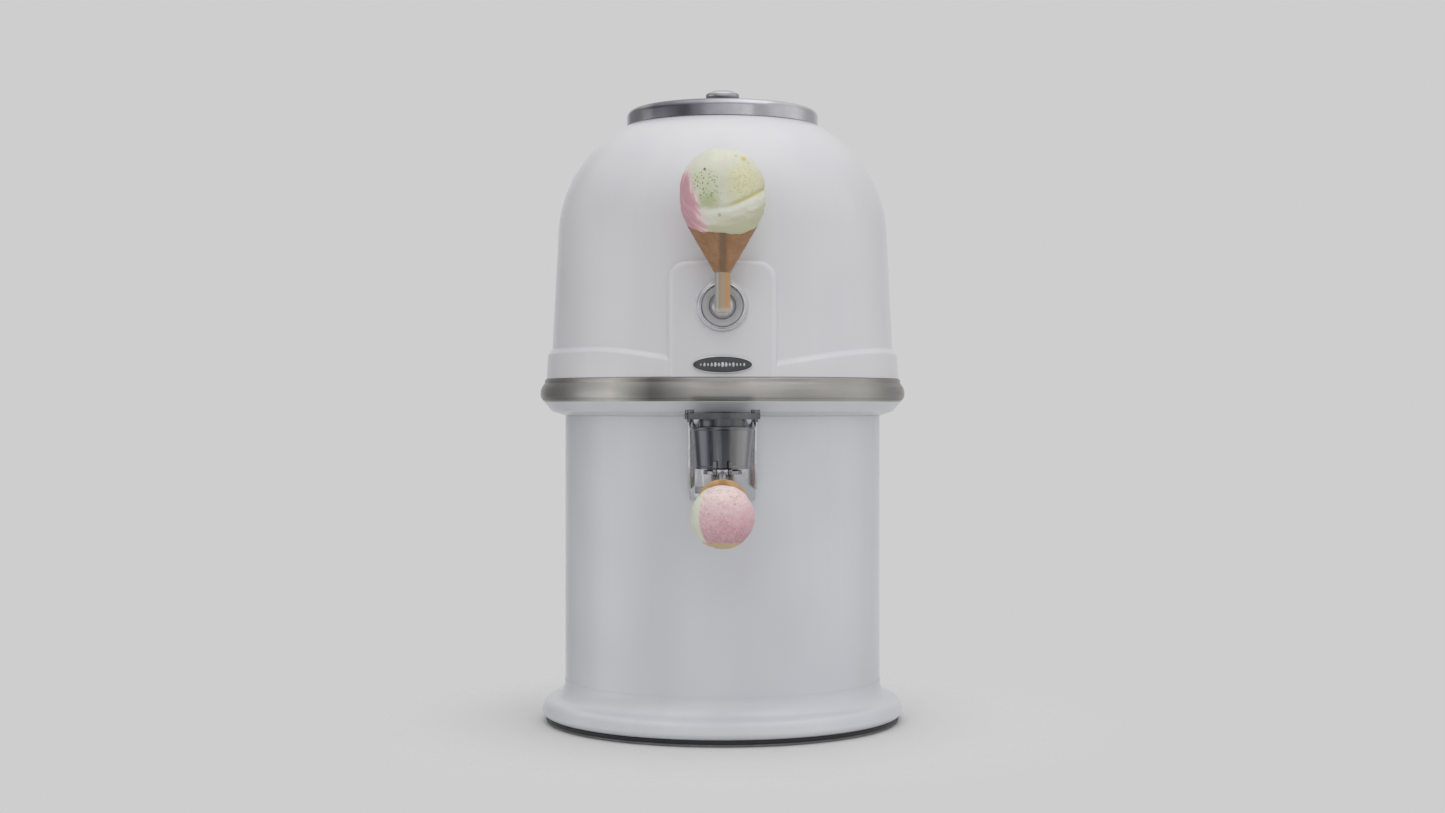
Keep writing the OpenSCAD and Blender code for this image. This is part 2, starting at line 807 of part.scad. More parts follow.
// The cup with the ears that hold the gate's pin.
module spout_cup() {
    wall = 2;
    roof = 2;
    ear_in = 4.1;
    ear_out = 6.8;
    color("gray") difference() {
        union() {
            translate([0, -spout_out, cup_mouth])
                cylinder(r1 = cup_mouth_r, r2 = cup_top_r, h = cup_top - cup_mouth);
            translate([0, -spout_out, 0]) z_ring(cup_mouth_r - 1, cup_top_r + 0.7, cup_top - 1.4, cup_top);
            translate([0, -spout_out, 0]) z_ring(cup_mouth_r - 1.5, cup_mouth_r + 0.6, cup_mouth, cup_mouth + 1.6);
            for (s = [-1, 1])
                translate([s * (ear_in + ear_out) / 2, 0, 0]) union() {
                    block(-1.35, 1.35, gate_y, -spout_out - 17.4, gate_z, cup_mouth + 6);
                    block(-1.35, 1.35, gate_y, -spout_out - 18.4, gate_z - 4.2, gate_z);
                    x_cyl(4.2, -1.35, 1.35, gate_y, gate_z);
                }
        }
        translate([0, -spout_out, cup_mouth - 1])
            cylinder(r1 = cup_mouth_r - wall, r2 = cup_top_r - wall, h = cup_top - cup_mouth - roof + 1);
        z_cyl(9.1, cup_mouth, cup_top + 1, 0, -spout_out);
        block(-stub_r - 0.1, stub_r + 0.1, -spout_out, -110, passage_z - stub_r - 0.1, cup_top + 1);
        x_cyl(gate_pin_r + running, -20, 20, gate_y, gate_z);
    }
}

module star_nozzle() {
    body_r = 12;
    body_top = 212;
    floor_z = 206;
    points = 6;
    color("whitesmoke") translate([0, -spout_out, 0]) difference() {
        z_cyl(body_r, cup_mouth, body_top);
        z_cyl(9.05, floor_z, body_top + 1);
        translate([0, 0, cup_mouth - 1]) linear_extrude(floor_z - cup_mouth + 2)
            polygon([for (i = [0:2 * points - 1]) let (r = i % 2 == 0 ? 6.4 : 3.6, a = i * 180 / points)
                [r * cos(a), r * sin(a)]]);
    }
}

gate_scale = gate_scoop_r / 30;
gate_stem_len = 16.3;

module along_gate()
    translate([0, gate_y, gate_z]) rotate([90 + gate_droop, 0, 0]) children();

module gate_lever() {
    hub_r = 3.9;
    hub_half = 3.7;
    flap_r = 13.5;
    flap_low = 195.2;
    pad_low = 198;
    color("silver") union() {
        x_cyl(hub_r, -hub_half, hub_half, gate_y, gate_z);
        block(-hub_half, hub_half, gate_y, -spout_out - 4, gate_z - 2.2, pad_low);
        z_cyl(flap_r, flap_low, pad_low, 0, -spout_out);
        z_cyl(11, pad_low, cup_mouth - 0.3, 0, -spout_out);
        along_gate() cylinder(r = 3.4, h = gate_stem_len);
        along_gate() cylinder(r = 1.8, h = gate_stem_len + 24 * gate_scale);
        x_cyl(gate_pin_r, -7.6, 7.6, gate_y, gate_z);
    }
}

module gate_cone_grip()
    color("peru") along_gate() translate([0, 0, gate_stem_len]) cone_shape(gate_scale, 1.85);

module gate_scoop_grip()
    color("pink") along_gate() translate([0, 0, gate_stem_len])
        scoop_shape(gate_scale, 1.85, 30.1 * gate_scale);

// ---- rear of the column ----

panel_low = 74;
panel_high = 196;

module panel_bolts(r, r0, r1)
    for (x = [-1, 1], z = [panel_low + 6, (panel_low + panel_high) / 2, panel_high - 6])
        rotate([0, 0, x * 26]) y_cyl(r, r0, r1, 0, z);

module rear_panel() {
    half_w = 58;
    slot_end = 40;
    slot_half = 2;
    color("lightgray") difference() {
        intersection() {
            z_ring(column_r + seat_gap, column_r + 2.1, panel_low, panel_high);
            block(-half_w, half_w, 90, 130, panel_low - 1, panel_high + 1);
        }
        panel_bolts(1.75, column_r - 5, column_r + 5);
        for (x = [-slot_end:8:slot_end])
            block(x - slot_half, x + slot_half, 90, 130, panel_low + 20, panel_high - 20);
    }
}

module panel_screws()
    color("silver") union() {
        panel_bolts(1.7, column_r - 4, column_r + 2.2);
        panel_bolts(3.4, column_r + 2.2, column_r + 4);
    }

plate_rear = 126;
power_z = 51;
inlet_x = -13;
switch_x = 20;
rocker_y = plate_rear - 2;

module power_plate()
    color("black") difference() {
        block(-34, 34, 104, plate_rear, power_z - 13, power_z + 13);
        block(inlet_x - 13.7, inlet_x + 13.7, 103, plate_rear + 1, power_z - 9.9, power_z + 9.9);
        block(switch_x - 6.1, switch_x + 6.1, plate_rear - 12, plate_rear + 1, power_z - 9.2, power_z + 9.2);
        x_cyl(1.55, switch_x - 8, switch_x + 8, rocker_y, power_z);
    }

module power_inlet() {
    blade = 12.5;
    back = plate_rear - 17.5;
    color("dimgray") union() {
        difference() {
            union() {
                block(inlet_x - 13.6, inlet_x + 13.6, back - 2, plate_rear, power_z - 9.8, power_z + 9.8);
                block(inlet_x - 15.4, inlet_x + 15.4, plate_rear, plate_rear + 2, power_z - 11.6, power_z + 11.6);
            }
            block(inlet_x - 12.1, inlet_x + 12.1, back, plate_rear + 3, power_z - 8.3, power_z + 8.3);
        }
        for (p = [[-7, -2], [0, 2.4], [7, -2]])
            translate([inlet_x + p[0], 0, power_z + p[1]]) block(-1, 1, back - 1, back + blade, -2, 2);
    }
}

// Drawn with its lower edge pressed in, the off position.
module power_rocker()
    color("black") translate([switch_x, rocker_y, power_z]) rotate([10, 0, 0]) union() {
        rotate([90, 0, 90]) linear_extrude(11.4, center = true)
            polygon([[-3, -8.2], [3, -8.2], [4.6, 0], [3, 8.2], [-3, 8.2]]);
        x_cyl(1.5, -7.6, 7.6);
    }

// ---- the whole machine ----

foot_ring();
base_pan();
base_skirt();
column_shell();
waist_collar();
trim_band();
deck_plate();
dome_housing();
front_pad();
badge_rim();
badge_plate();
hopper();
lid_shell();
lid_seal();
lid_knob();
freezing_cylinder();
evaporator_coil();
insulation_jacket();
cylinder_stand();
front_head();
head_screws();
bore_cap();
dasher_auger();
scraper_blades();
dasher_shaft();
rear_bearing();
driven_pulley();
drive_belt();
drive_pulley();
motor_shaft();
gear_motor();
motor_bracket();
compressor();
compressor_grommets();
condenser();
fan_motor();
fan_blades();
control_board();
boss_flange();
boss_cup();
lever_clevis();
lever_pin();
draw_lever();
cone_grip();
scoop_grip();
draw_plunger();
return_spring();
spout_bracket();
spout_body();
thumb_screws();
spout_cup();
star_nozzle();
gate_lever();
gate_cone_grip();
gate_scoop_grip();
rear_panel();
panel_screws();
power_plate();
power_inlet();
power_rocker();
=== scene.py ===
import json
import math
import bpy
import bmesh
from mathutils import Matrix, Vector, noise


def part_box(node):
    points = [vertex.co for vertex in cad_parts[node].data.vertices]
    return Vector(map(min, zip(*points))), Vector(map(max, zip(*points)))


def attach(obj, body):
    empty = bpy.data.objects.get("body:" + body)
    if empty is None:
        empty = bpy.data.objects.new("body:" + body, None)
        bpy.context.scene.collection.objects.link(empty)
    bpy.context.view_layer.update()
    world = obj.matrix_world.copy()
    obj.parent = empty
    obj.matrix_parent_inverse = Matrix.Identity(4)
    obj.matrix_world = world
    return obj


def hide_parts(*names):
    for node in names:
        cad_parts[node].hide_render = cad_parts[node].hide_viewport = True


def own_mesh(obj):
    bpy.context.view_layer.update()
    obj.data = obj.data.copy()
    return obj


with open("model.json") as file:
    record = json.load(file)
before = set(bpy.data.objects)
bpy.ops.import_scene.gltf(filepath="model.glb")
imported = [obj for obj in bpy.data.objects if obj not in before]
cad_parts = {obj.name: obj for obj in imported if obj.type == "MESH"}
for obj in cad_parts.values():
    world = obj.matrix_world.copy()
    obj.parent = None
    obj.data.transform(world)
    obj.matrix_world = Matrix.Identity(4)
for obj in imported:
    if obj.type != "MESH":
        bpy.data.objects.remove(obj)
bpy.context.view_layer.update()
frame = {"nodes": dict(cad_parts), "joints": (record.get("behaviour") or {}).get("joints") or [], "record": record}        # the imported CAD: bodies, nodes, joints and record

bodyOf = {node: body for body, members in frame["record"]["behaviour"]["bodies"].items() for node in members}
slotOf = {row["node"]: row["material_slot"] for row in frame["record"]["subparts"]}
print("frame loaded")


# ---------- sizes read from the frame, in millimetres ----------

def boxMm(node):
    low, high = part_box(node)
    return Vector(low) * 1000, Vector(high) * 1000


def middleMm(node):
    low, high = boxMm(node)
    return (low + high) / 2


# ---------- small mesh tools ----------

def arcPoints(centre, radius, fromDeg, toDeg, steps):
    points = []
    for i in range(steps + 1):
        angle = math.radians(fromDeg + (toDeg - fromDeg) * i / steps)
        points.append((centre[0] + radius * math.cos(angle), centre[1] + radius * math.sin(angle)))
    return points


def roundedOutline(corners, steps=5):
    # corners are (r, z) or (r, z, rounding); returns the outline with each corner turned into an arc
    outline = []
    count = len(corners)
    for i, corner in enumerate(corners):
        here = Vector(corner[:2])
        rounding = corner[2] if len(corner) > 2 else 0
        if not rounding or count < 3:
            outline.append(tuple(here))
            continue
        toLast = Vector(corners[i - 1][:2]) - here
        toNext = Vector(corners[(i + 1) % count][:2]) - here
        half = toLast.angle(toNext) / 2
        reach = min(rounding / max(math.tan(half), 1e-3), toLast.length * 0.48, toNext.length * 0.48)
        start = here + toLast.normalized() * reach
        end = here + toNext.normalized() * reach
        for k in range(steps + 1):
            t = k / steps
            point = start * (1 - t) ** 2 + here * 2 * t * (1 - t) + end * t ** 2
            outline.append(tuple(point))
    return outline


def spunMesh(outline, segments=160):
    # turns a closed (r, z) outline about Z
    bm = bmesh.new()
    verts = [bm.verts.new((max(r, 0.0), 0.0, z)) for r, z in outline]
    edges = [bm.edges.new((verts[i], verts[(i + 1) % len(verts)])) for i in range(len(verts))
             if not (outline[i][0] <= 0 and outline[(i + 1) % len(verts)][0] <= 0)]
    bmesh.ops.spin(bm, geom=verts + edges, cent=(0, 0, 0), axis=(0, 0, 1), dvec=(0, 0, 0),
                   angle=math.tau, steps=segments, use_merge=True, use_duplicate=False)
    bmesh.ops.remove_doubles(bm, verts=bm.verts, dist=0.0005)
    bmesh.ops.recalc_face_normals(bm, faces=bm.faces)
    return bm


def placed(bm, matrix):
    bmesh.ops.transform(bm, matrix=matrix, verts=bm.verts)
    return bm


def joined(bm, other):
    spare = bpy.data.meshes.new("spare")
    other.to_mesh(spare)
    other.free()
    bm.from_mesh(spare)
    bpy.data.meshes.remove(spare)
    return bm


def boxMesh(low, high, rounding=0.0, segments=3):
    bm = bmesh.new()
    bmesh.ops.create_cube(bm, size=1)
    size = Vector(high) - Vector(low)
    bmesh.ops.transform(bm, matrix=Matrix.Diagonal((*size, 1)), verts=bm.verts)
    bmesh.ops.translate(bm, vec=(Vector(high) + Vector(low)) / 2, verts=bm.verts)
    if rounding:
        bmesh.ops.bevel(bm, geom=bm.edges[:], offset=rounding, offset_type="OFFSET", segments=segments,
                        profile=0.5, affect="EDGES", material=-1)
    return bm


def rodMesh(radius, low, high, segments=48, rounding=0.0):
    corners = [(0, low), (radius, low, rounding), (radius, high, rounding), (0, high)]
    return spunMesh(roundedOutline(corners, 4), segments)


facingFront = Matrix.Rotation(math.radians(90), 4, "X")     # turns a lathe's +Z to the front


def finish(name, bm, material, node=None, body=None, sharpDeg=32):
    # bm is in millimetres; the finished piece is in metres, in the frame
    bmesh.ops.transform(bm, matrix=Matrix.Scale(0.001, 4), verts=bm.verts)
    mesh = bpy.data.meshes.new(name)
    bm.to_mesh(mesh)
    bm.free()
    mesh.polygons.foreach_set("use_smooth", [True] * len(mesh.polygons))
    mesh.set_sharp_from_angle(angle=math.radians(sharpDeg))
    piece = bpy.data.objects.new(name, mesh)
    bpy.context.scene.collection.objects.link(piece)
    mesh.materials.append(material)
    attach(piece, body or bodyOf[node])
    if node:
        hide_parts(node)
    return piece


def drilled(piece, *cutters):
    # cuts closed meshes, given in millimetres, out of a finished piece
    for cutter in cutters:
        bmesh.ops.transform(cutter, matrix=Matrix.Scale(0.001, 4), verts=cutter.verts)
        mesh = bpy.data.meshes.new("cutter")
        cutter.to_mesh(mesh)
        cutter.free()
        tool = bpy.data.objects.new("cutter", mesh)
        bpy.context.scene.collection.objects.link(tool)
        cut = piece.modifiers.new("cut", "BOOLEAN")
        cut.operation = "DIFFERENCE"
        cut.solver = "EXACT"
        cut.object = tool
        bpy.context.view_layer.update()
        result = bpy.data.meshes.new_from_object(piece.evaluated_get(bpy.context.evaluated_depsgraph_get()))
        piece.modifiers.clear()
        old = piece.data
        piece.data = result
        result.name = old.name
        bpy.data.meshes.remove(old)
        bpy.data.objects.remove(tool)
        bpy.data.meshes.remove(mesh)
    return piece


def softened(node, material, width=0.3, segments=2):
    # a merged copy of a CAD node with its sharp edges rounded, which stands for the node
    bm = bmesh.new()
    bm.from_mesh(frame["nodes"][node].data)
    bmesh.ops.transform(bm, matrix=Matrix.Scale(1000, 4), verts=bm.verts)
    bmesh.ops.remove_doubles(bm, verts=bm.verts, dist=0.001)
    bmesh.ops.dissolve_limit(bm, angle_limit=math.radians(0.5), verts=bm.verts, edges=bm.edges)
    sharp = [e for e in bm.edges if len(e.link_faces) == 2 and e.calc_face_angle(0) > math.radians(35)]
    bmesh.ops.bevel(bm, geom=sharp, offset=width, offset_type="OFFSET", segments=segments, profile=0.5,
                    affect="EDGES", clamp_overlap=True, material=-1)
    return finish(node + "_soft", bm, material, node)


def raisedSlab(outline, height, rounding, segments=3, lowest=-math.inf):
    # a flat (x, z) outline raised towards the front, its front edge rounded above lowest
    bm = bmesh.new()
    face = bm.faces.new([bm.verts.new((x, 0, z)) for x, z in outline])
    moved = bmesh.ops.extrude_face_region(bm, geom=[face])["geom"]
    bmesh.ops.translate(bm, vec=(0, -height, 0),
                        verts=[v for v in moved if isinstance(v, bmesh.types.BMVert)])
    bmesh.ops.recalc_face_normals(bm, faces=bm.faces)
    front = [e for e in bm.edges if all(v.co.y < -height / 2 for v in e.verts)
             and max(v.co.z for v in e.verts) > lowest]
    bmesh.ops.bevel(bm, geom=front, offset=rounding, offset_type="OFFSET", segments=segments, profile=0.5,
                    affect="EDGES", clamp_overlap=True, material=-1)
    return bm


def sliced(bm, halfWidth, pitch):
    # upright cuts, so that the slab can bend
    steps = int(2 * halfWidth / pitch)
    for i in range(1, steps):
        bmesh.ops.bisect_plane(bm, geom=bm.verts[:] + bm.edges[:] + bm.faces[:], dist=0.0001,
                               plane_co=(-halfWidth + 2 * halfWidth * i / steps, 0, 0), plane_no=(1, 0, 0))
    return bm


def frontHole(radius, near, far, level, segments):
    # a cutter that runs from near to far in front of the middle
    return placed(rodMesh(radius, near, far, segments), Matrix.Translation((0, 0, level)) @ facingFront)


def smoothStep(low, high, value):
    t = min(max((value - low) / (high - low), 0.0), 1.0)
    return t * t * (3 - 2 * t)


# ---------- material tools ----------

def hexColour(text):
    # sRGB hex to the linear values that shaders take
    channels = [int(text[i:i + 2], 16) / 255 for i in (1, 3, 5)]
    return tuple(c / 12.92 if c <= 0.04045 else ((c + 0.055) / 1.055) ** 2.4 for c in channels) + (1.0,)


class Wire:
    # a node's output, which can be added, taken away and multiplied like a number
    def __init__(self, tree, socket):
        self.tree, self.socket = tree, socket

    def __add__(self, other):
        return maths("ADD", self, other)

    def __sub__(self, other):
        return maths("SUBTRACT", self, other)

    def __rsub__(self, other):
        return maths("SUBTRACT", other, self)

    def __mul__(self, other):
        return maths("MULTIPLY", self, other)

    def __abs__(self):
        return maths("ABSOLUTE", self, 0)


def feed(tree, entry, item):
    # gives a node's input a wire, a hex colour or a plain value
    if isinstance(item, Wire):
        tree.links.new(item.socket, entry)
    else:
        entry.default_value = hexColour(item) if isinstance(item, str) else item


def addNode(tree, kind, inputs, output=0, **settings):
    # adds a node with its settings and inputs, and gives one of its outputs
    node = tree.nodes.new(kind)
    for key, value in settings.items():
        setattr(node, key, value)
    for key, item in inputs.items():
        feed(tree, node.inputs[key], item)
    return Wire(tree, node.outputs[output])


def maths(operation, a, b):
    tree = a.tree if isinstance(a, Wire) else b.tree
    return addNode(tree, "ShaderNodeMath", {0: a, 1: b}, operation=operation)


def vectorMaths(operation, source, other=None, output=0):
    inputs = {0: source} if other is None else {0: source, 1: other}
    return addNode(source.tree, "ShaderNodeVectorMath", inputs, output, operation=operation)


def newMaterial(name, **sockets):
    material = bpy.data.materials.new(name)
    material.use_nodes = True
    tree = material.node_tree
    shader = tree.nodes["Principled BSDF"]
    for key, value in sockets.items():
        shader.inputs[key.replace("_", " ")].default_value = value
    return material, tree, shader


def objectMm(tree, centre=(0, 0, 0), stretch=(1, 1, 1)):
    # object coordinates in millimetres from a centre, each axis stretched
    place = addNode(tree, "ShaderNodeTexCoord", {}, "Object")
    moved = vectorMaths("SUBTRACT", place, tuple(c / 1000 for c in centre))
    return vectorMaths("MULTIPLY", moved, tuple(1000 * s for s in stretch))


def axesOf(place):
    # the X, Y and Z of a vector
    split = place.tree.nodes.new("ShaderNodeSeparateXYZ")
    place.tree.links.new(place.socket, split.inputs[0])
    return [Wire(place.tree, output) for output in split.outputs]


def ramp(source, stops):
    # stops are (position, hex colour)
    node = source.tree.nodes.new("ShaderNodeValToRGB")
    feed(source.tree, node.inputs["Fac"], source)
    elements = node.color_ramp.elements
    while len(elements) < len(stops):
        elements.new(0.5)
    for element, (position, colour) in zip(elements, stops):
        element.position = position
        element.color = hexColour(colour)
    return Wire(source.tree, node.outputs["Color"])


def spread(source, low, high, toLow=0.0, toHigh=1.0, smooth=False):
    return addNode(source.tree, "ShaderNodeMapRange", {0: source, 1: low, 2: high, 3: toLow, 4: toHigh},
                   interpolation_type="SMOOTHSTEP" if smooth else "LINEAR")


def mixColour(factor, first, second):
    # first and second are wires or hex colours
    return addNode(factor.tree, "ShaderNodeMix", {0: factor, 6: first, 7: second}, 2, data_type="RGBA")


def noiseMm(place, sizeMm, detail=3.0, roughness=0.5, distortion=0.0):
    # cloudy noise whose blobs are about sizeMm across, on coordinates in millimetres
    return addNode(place.tree, "ShaderNodeTexNoise",
                   {"Vector": place, "Scale": 1 / sizeMm, "Detail": detail, "Roughness": roughness,
                    "Distortion": distortion})


def cellsMm(place, sizeMm):
    # distance to the nearest of many random points about sizeMm apart
    return addNode(place.tree, "ShaderNodeTexVoronoi",
                   {"Vector": place, "Scale": 1 / sizeMm, "Randomness": 1.0}, "Distance")


def bumpOn(shader, height, strength, depthMm, below=None):
    inputs = {"Height": height, "Strength": strength, "Distance": depthMm / 1000}
    if below:
        inputs["Normal"] = below
    bump = addNode(height.tree, "ShaderNodeBump", inputs)
    feed(height.tree, shader.inputs["Normal"], bump)
    return bump


def setRoughness(shader, source, low, high, fromLow=0.3, fromHigh=0.7):
    feed(source.tree, shader.inputs["Roughness"], spread(source, fromLow, fromHigh, low, high))


def setColour(shader, source):
    feed(source.tree, shader.inputs["Base Color"], source)


# ---------- the materials ----------

enamelLooks = {
    "domeTint": "#DCDCDF", "domeShade": "#D6D6DA",
    # painted shade: the column's two tones are the white enamel made a little darker and bluer
    "columnPaintedShadeTint": "#D6D7DC", "columnPaintedShadeDeep": "#CFD0D6",
    "grime": "#B9B6B0", "peelMm": 3.2,
}


def enamelPaint(name, tint, shade):
    # stoved enamel on spun steel: a wet-looking coat with slow clouds of tone and faint orange peel
    material, tree, shader = newMaterial(name, Coat_Weight=0.22, Coat_Roughness=0.14,
                                         Specular_IOR_Level=0.45)
    place = objectMm(tree)
    cloud = noiseMm(place, 80, 1)
    wiped = noiseMm(objectMm(tree, stretch=(1, 1, 0.06)), 16, 2)
    coat = mixColour(spread(cloud, 0.25, 0.8, smooth=True), tint, shade)
    coat = mixColour(spread(wiped, 0.36, 0.76, 0, 0.4, True), coat, shade)
    setColour(shader, mixColour(spread(cloud, 0.5, 0.95, 0, 0.05, True), coat, enamelLooks["grime"]))
    setRoughness(shader, wiped, 0.28, 0.34)
    bumpOn(shader, noiseMm(place, enamelLooks["peelMm"], 0), 0.05, 0.03)
    return material


def paintedReflectionTint(colour, halfWidth, stops):
    # painted reflections: multiplies a colour by a ramp of lighter and darker stretches across a ring,
    # standing in for what the metal reflects; stops run from its left edge to its right edge
    across = axesOf(objectMm(colour.tree))[0]
    paintedReflectionRamp = ramp(spread(across, -halfWidth, halfWidth), stops)
    return addNode(colour.tree, "ShaderNodeMix", {0: 1.0, 6: colour, 7: paintedReflectionRamp}, 2, data_type="RGBA",
                   blend_type="MULTIPLY")


# painted reflections on the steel band: lighter and darker stretches from its left edge to its right edge
bandPaintedReflections = [(0.03, "#C6C6C6"), (0.1, "#C6C6C6"), (0.156, "#D8D8D7"), (0.209, "#F4F3F0"),
               (0.25, "#E4E3E0"), (0.315, "#949392"), (0.335, "#989796"), (0.37, "#AEADAB"),
               (0.42, "#C4C3C1"), (0.5, "#D4D3D1"), (0.63, "#CFCECC"), (0.74, "#D3D2D0"), (0.8, "#D9D8D6"),
               (0.88, "#DADAD8"), (0.97, "#C8C7C5")]
# painted reflections on the lid: a dark grey-violet reflection over its left half, lighter towards its right
lidPaintedReflections = [(0.03, "#D2D2D4"), (0.10, "#BDBDC0"), (0.155, "#7F7E86"), (0.27, "#87868F"), (0.39, "#8E8D95"),
              (0.45, "#A3A2A8"), (0.51, "#B4B4B8"), (0.60, "#C6C6C9"), (0.80, "#D0D0D2"), (0.92, "#E4E4E6")]


def brushedSteel(name, tint, shade, along="Z", roughLow=0.24, roughHigh=0.42, depth=0.02, smear=0.5,
                 turn=0.0, halfWidth=0, paintedReflections=None):
    # sheet brushed in one direction: fine streaks, drawn at 0.5 mm to show, that smear its reflections
    material, tree, shader = newMaterial(name, Metallic=1.0, Anisotropic=smear, Anisotropic_Rotation=turn)
    stretch = {"X": (1, 0.02, 0.02), "Y": (0.02, 1, 0.02), "Z": (0.012, 0.012, 1)}[along]
    streak = noiseMm(objectMm(tree, stretch=stretch), 0.5, 2, 0.6)
    cloud = noiseMm(objectMm(tree), 30, 3)
    colour = mixColour(spread(cloud, 0.3, 0.7), tint, shade)
    # with a ramp given, painted reflections are multiplied into the colour
    setColour(shader, paintedReflectionTint(colour, halfWidth, paintedReflections) if paintedReflections else colour)
    setRoughness(shader, streak, roughLow, roughHigh)
    bumpOn(shader, streak, 0.3, depth)
    return material


def platedMetal(name, tint, shade, roughLow=0.06, roughHigh=0.16, rippleMm=14, halfWidth=0, paintedReflections=None):
    # bright plate or a mirror polish: a clean reflection bent by slow ripples, dulled where fingers land
    material, tree, shader = newMaterial(name, Metallic=1.0)
    place = objectMm(tree)
    smudge = noiseMm(place, 9, 4, 0.6)
    colour = mixColour(spread(smudge, 0.4, 0.75), tint, shade)
    # with a ramp given, painted reflections are multiplied into the colour
    setColour(shader, paintedReflectionTint(colour, halfWidth, paintedReflections) if paintedReflections else colour)
    setRoughness(shader, smudge, roughLow, roughHigh, 0.35, 0.75)
    low = bumpOn(shader, noiseMm(place, rippleMm, 1), 0.3, 0.25)
    bumpOn(shader, noiseMm(objectMm(tree, stretch=(0.05, 0.05, 1)), 0.7, 1), 0.08, 0.01, low)
    return material


# the smoked chrome's tone with painted reflections in it: darker and lighter upright bands from left to
# right
smokeToneAndPaintedReflections = [(0.0, "#7B7B7F"), (0.12, "#62626A"), (0.28, "#5C5D63"), (0.36, "#74757B"), (0.45, "#6A6B70"),
              (0.50, "#4A4B4F"), (0.60, "#4C4D51"), (0.66, "#7E7D7D"), (0.80, "#8E8E8F"), (0.92, "#9C9C9F"),
              (1.0, "#87898A")]


def smokedChrome(name):
    # chrome over a smoked base, with painted reflections in darker and lighter upright bands across it, and
    # darker towards its top
    material, tree, shader = newMaterial(name, Metallic=1.0)
    x, _, z = axesOf(objectMm(tree))
    fine = noiseMm(objectMm(tree, stretch=(1, 1, 0.03)), 1.6, 2, 0.6)
    across = x + (fine - 0.5) * 3.0
    # painted reflections: upright bands of lighter and darker tone across the cup
    bands = ramp(spread(across, -21, 21), smokeToneAndPaintedReflections)
    shoulder = spread(z, 226.5, 230, 0, 0.75, True)
    setColour(shader, mixColour(shoulder, bands, "#55565A"))
    setRoughness(shader, fine, 0.12, 0.26)
    bumpOn(shader, fine, 0.2, 0.03)
    return material


def mouldedPlastic(name, tint, shade, roughLow=0.35, roughHigh=0.55, grainMm=0.9, depth=0.05, **sockets):
    # injection moulded ABS, acetal or nylon: an even body colour with a fine spark-eroded grain
    material, tree, shader = newMaterial(name, **sockets)
    place = objectMm(tree)
    cloud = noiseMm(place, 12, 3)
    grain = noiseMm(place, grainMm, 2)
    setColour(shader, mixColour(spread(cloud, 0.3, 0.7), tint, shade))
    setRoughness(shader, cloud, roughLow, roughHigh)
    bumpOn(shader, grain, 0.3, depth)
    return material


def rubberCompound(name, tint, shade):
    # pressed nitrile rubber: dull, slightly bloomed, with a faint pebble from the mould
    material, tree, shader = newMaterial(name, Specular_IOR_Level=0.3)
    place = objectMm(tree)
    bloom = noiseMm(place, 16, 4, 0.6)
    setColour(shader, mixColour(spread(bloom, 0.35, 0.75), tint, shade))
    setRoughness(shader, bloom, 0.62, 0.85)
    bumpOn(shader, noiseMm(place, 1.1, 2), 0.4, 0.12)
    return material


coneLooks = {"pale": "#AD8563", "toast": "#97704F", "streak": "#776350"}


def bakedWaferPlastic(name, centre, pale, toast, streak):
    # cast resin painted as a rolled wafer: toasted blotches, thin rolled lines and a scorched streak
    material, tree, shader = newMaterial(name, Specular_IOR_Level=0.35, Subsurface_Weight=0.04)
    place = objectMm(tree, centre)
    x = axesOf(place)[0]
    blotch = noiseMm(place, 7, 5, 0.62)
    fine = noiseMm(objectMm(tree, centre, (0.2, 0.2, 1)), 0.55, 2)
    body = mixColour(spread(blotch, 0.35, 0.68), pale, toast)
    lined = mixColour(spread(fine, 0.52, 0.7, 0, 0.38), body, toast)
    wander = x + blotch * 2.0
    band = spread(abs(wander - 1.2), 1.2, 4.2, 0.75, 0, True)
    setColour(shader, mixColour(band, lined, streak))
    setRoughness(shader, blotch, 0.45, 0.7)
    low = bumpOn(shader, fine, 0.5, 0.1)
    bumpOn(shader, noiseMm(place, 0.8, 2), 0.3, 0.06, low)
    return material


scoopLooks = {
    "mint": "#DDDDCF", "mintShade": "#D2D5C4", "cream": "#E4E5D8", "creamShade": "#C3C2A4",
    "lemon": "#DDDAB4", "lemonDeep": "#CBC391", "amber": "#D9BB55", "pistachio": "#CDD4B0",
    "pistachioMid": "#B3BC90", "pistachioDeep": "#7F8A57", "berry": "#DDB0BA", "berryDeep": "#CC9AA5",
    "berryPale": "#F0DADC", "speck": "#7E4B3C", "groove": "#C4B863",
}


def spotMask(place, at, radius, soft, source=None):
    # 1 inside a round spot on the face of a scoop, seen along Y, 0 outside; its edge wanders with source
    reach = vectorMaths("DISTANCE", vectorMaths("MULTIPLY", place, (1, 0, 1)), (at[0], 0, at[1]), "Value")
    if source:
        reach = reach + (source - 0.5) * (radius * 1.1)
    return spread(reach, radius - soft, radius + soft, 1, 0, True)


def tinted(colour, tint, mask, share=1.0):
    # lays a tint over a colour where a mask says, as strongly as share
    return mixColour(mask * share, colour, tint)


